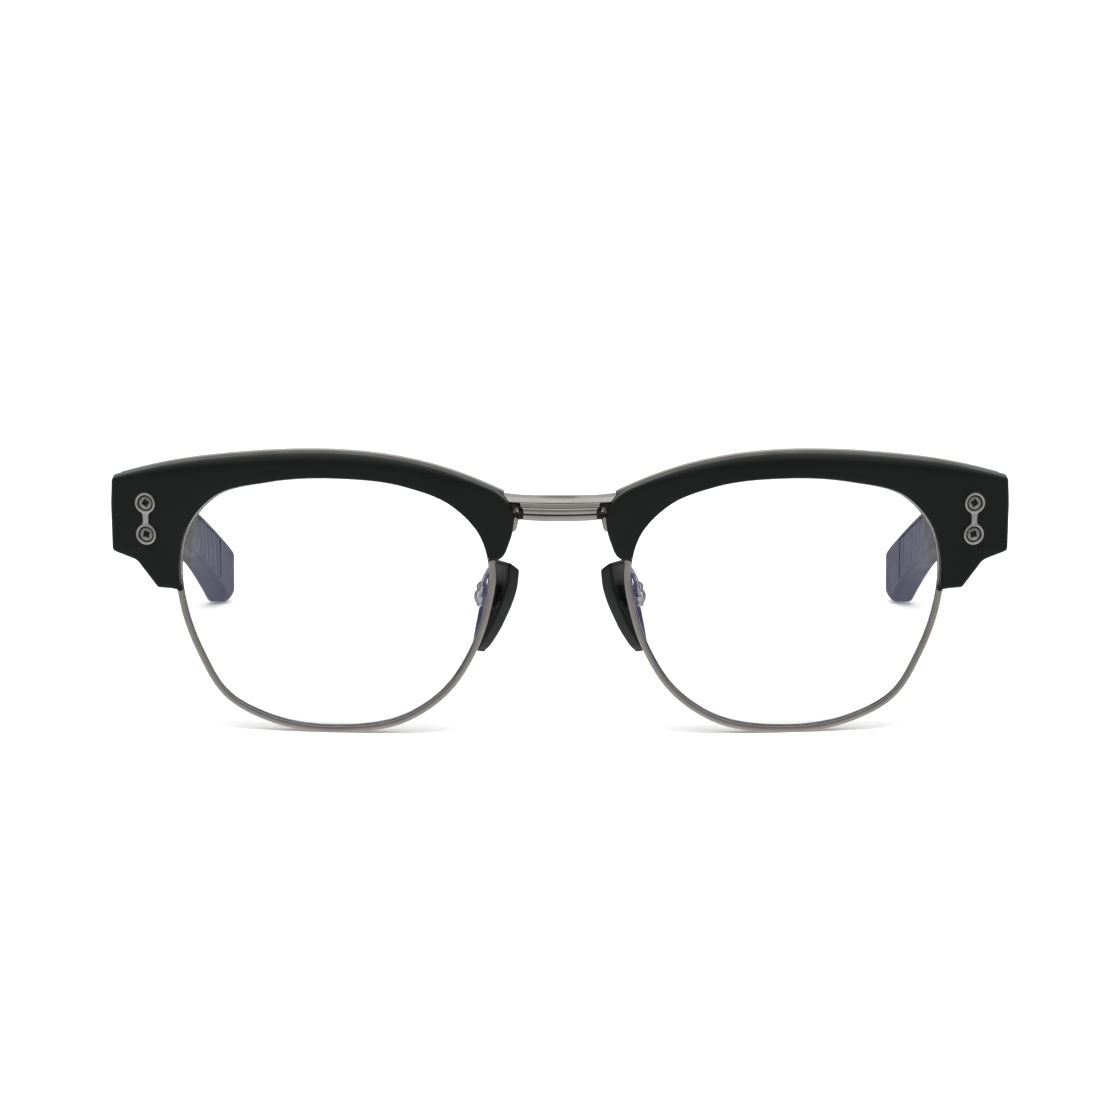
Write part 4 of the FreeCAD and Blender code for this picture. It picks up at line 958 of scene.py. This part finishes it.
temple_top = smooth_path([(EDGE_START, start_top), (TEMPLE_MIDDLE, (start_top + BEND_TOP) / 2 + 0.25),
                          (TEMPLE_BEND, BEND_TOP), (120.5, 19.0), (high_end, TIP_HIGH)])
temple_low = smooth_path([(EDGE_START, start_low), (TEMPLE_MIDDLE, (start_low + BEND_LOW) / 2 + 0.1),
                          (TEMPLE_BEND, BEND_LOW), (118.0, 11.5), (127.0, 7.7), (low_start, TIP_LOW)])


def temple_face(y):
    """X of the temple's outer face."""
    past = max(0.0, y - TEMPLE_BEND)
    return TEMPLE_FACE - TEMPLE_SLOPE * (y - EDGE_START) - TEMPLE_CURL * past * past


def height_at(path, y):
    """Height of an edge of the temple at a distance behind the front."""
    for a, b in zip(path, path[1:]):
        if y <= b.x:
            return a.y + (b.y - a.y) * (y - a.x) / (b.x - a.x)
    return path[-1].y


def temple_heights(y):
    """The top and bottom edges of the temple, with the corners of the tip rounded."""
    top = height_at(temple_top, min(y, high_end))
    low = height_at(temple_low, min(y, low_start))
    past_high = max(0.0, y - high_start) / HIGH_CORNER
    past_low = max(0.0, y - low_start) / LOW_CORNER
    top -= HIGH_CORNER_DROP * (1 - math.sqrt(max(0.0, 1 - past_high ** 2)))
    low += LOW_CORNER_RISE * (1 - math.sqrt(max(0.0, 1 - past_low ** 2)))
    return top, low


def panel_heights(y):
    """The ribbed panel's top and bottom edges, inside the temple's own."""
    top, low = temple_heights(y)
    return top - TEMPLE_ROUND - HIGH_LAND, low + TEMPLE_ROUND + LOW_LAND


def temple_ring(y, sunk=FLUSH, shrink=0.0):
    """A rounded section of the temple, with the panel's recess sunk into its inner side."""
    top, low = temple_heights(y)
    top, low = top - shrink, low + shrink
    outer_x, inner_x = temple_face(y) - shrink, temple_face(y) - TEMPLE_THICKNESS + shrink
    edge = TEMPLE_ROUND - shrink
    seat_x = temple_face(y) - SIDE_PLATE_SEAT if y < SIDE_PLATE_END else outer_x
    places = []
    for cx, cz, start in ((outer_x - edge, top - edge, 0), (inner_x + edge, top - edge, 90),
                          (inner_x + edge, low + edge, 180), (outer_x - edge, low + edge, 270)):
        if start == 180:
            high_z, low_z = panel_heights(y)
            for x, z in ((inner_x, high_z), (inner_x + sunk, high_z - RECESS_DRAFT),
                         (inner_x + sunk, low_z + RECESS_DRAFT), (inner_x, low_z)):
                places.append(straight(x, y, z))
        for k in range(7):
            a = math.radians(start + 15 * k)
            places.append(straight(min(cx + edge * math.cos(a), seat_x), y, cz + edge * math.sin(a)))
    return places


bm = bmesh.new()
temple_stops = [TEMPLE_START + 3.0 * i for i in range(1, 33)]
temple_stops = sorted(temple_stops + [SIDE_PLATE_END - 0.01, SIDE_PLATE_END + 0.01])
PANEL_STEPS = 30
RECESS_DEPTH = PANEL_SUNK + 0.45
rings = [temple_ring(TEMPLE_START, shrink=0.25), temple_ring(TEMPLE_START + 0.12, shrink=0.06)]
rings += [temple_ring(y) for y in temple_stops + [PANEL_START]]
for i in range(PANEL_STEPS + 1):
    y = PANEL_START + RECESS_GAP + (PANEL_END - PANEL_START - 2 * RECESS_GAP) * i / PANEL_STEPS
    rings.append(temple_ring(y, RECESS_DEPTH))
rings += [temple_ring(y) for y in (PANEL_END, 135.5, 137.5, 139.0, 140.0, 141.0)]
for y, shrink in ((141.9, 0.03), (142.5, 0.2), (142.8, 0.45), (142.92, 0.8)):
    rings.append(temple_ring(y, shrink=shrink))
loft(bm, rings)
pair("acetate_temple", bm, acetate, "temple", ["temple_arm"])

ribbed = new_material("ribbed_panel_black", Base_Color=(0.012, 0.012, 0.014, 1), Roughness=0.35,
                      IOR=1.48, Specular_IOR_Level=0.4)
colour_to(ribbed, 120.0, (0.010, 0.010, 0.012), (0.016, 0.016, 0.019))
noise_to(ribbed, "Roughness", 400.0, 0.28, 0.42)
RIB_PITCH = 3.3
RIB_HEIGHT = 0.3
RIB_DRIFT = 1.3                # how far the ribs wander, and over what height
RIB_WANDER = 5.0
RIB_SHARE = 0.8
PANEL_ROWS = 14
PANEL_STOPS = 150
PANEL_GAP = 0.12
PANEL_MARGIN = 0.1
PANEL_THICKNESS = 0.4
bm = bmesh.new()
rings = []
for i in range(PANEL_STOPS + 1):
    y = PANEL_START + PANEL_GAP + (PANEL_END - PANEL_START - 2 * PANEL_GAP) * i / PANEL_STOPS
    high_z, low_z = panel_heights(y)
    face_x = temple_face(y) - TEMPLE_THICKNESS + PANEL_SUNK
    places = []
    for k in range(PANEL_ROWS):
        z = high_z - PANEL_MARGIN + (low_z - high_z + 2 * PANEL_MARGIN) * k / (PANEL_ROWS - 1)
        drift = RIB_DRIFT * math.sin((z - low_z) / RIB_WANDER)
        wave = ((y + drift) / RIB_PITCH) % 1.0
        ridge = RIB_HEIGHT * (1 - abs(2 * wave - 1) ** 1.6)
        places.append(straight(face_x - ridge * RIB_SHARE, y, z))
    for z in (low_z + PANEL_MARGIN, high_z - PANEL_MARGIN):
        places.append(straight(face_x + PANEL_THICKNESS, y, z))
    rings.append(places)
loft(bm, rings)
pair("ribbed_panel", bm, ribbed, "temple", ["tip_inlay"], sharp=60.0)

# ---- everything that keeps its CAD shape ---------------------------------------------------------
# Hinges, screws, wires and plates are turned, stamped or drawn metal.  They are screwed, pinned or
# brazed together.

hinge_steel = new_material("hinge_steel", Metallic=1.0, Roughness=0.3)
colour_to(hinge_steel, 300.0, (0.33, 0.33, 0.33), (0.42, 0.42, 0.42))
noise_to(hinge_steel, "Roughness", 600.0, 0.22, 0.36)
kept = {
    "side_plate": gunmetal, "side_plate_screws": polished, "pad_mount": arm_plating,
    "pad_pin": arm_plating, "brow_screws": screw_steel, "leaf_screws": screw_steel,
    "closing_screw": screw_steel, "hinge_front_leaf": hinge_steel,
    "hinge_temple_leaf": hinge_steel, "hinge_pin": hinge_steel, "core_wire": hinge_steel,
}
for side in ("left_", "right_"):
    for name, material in kept.items():
        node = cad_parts[side + name]
        node.data.materials.clear()
        node.data.materials.append(material)
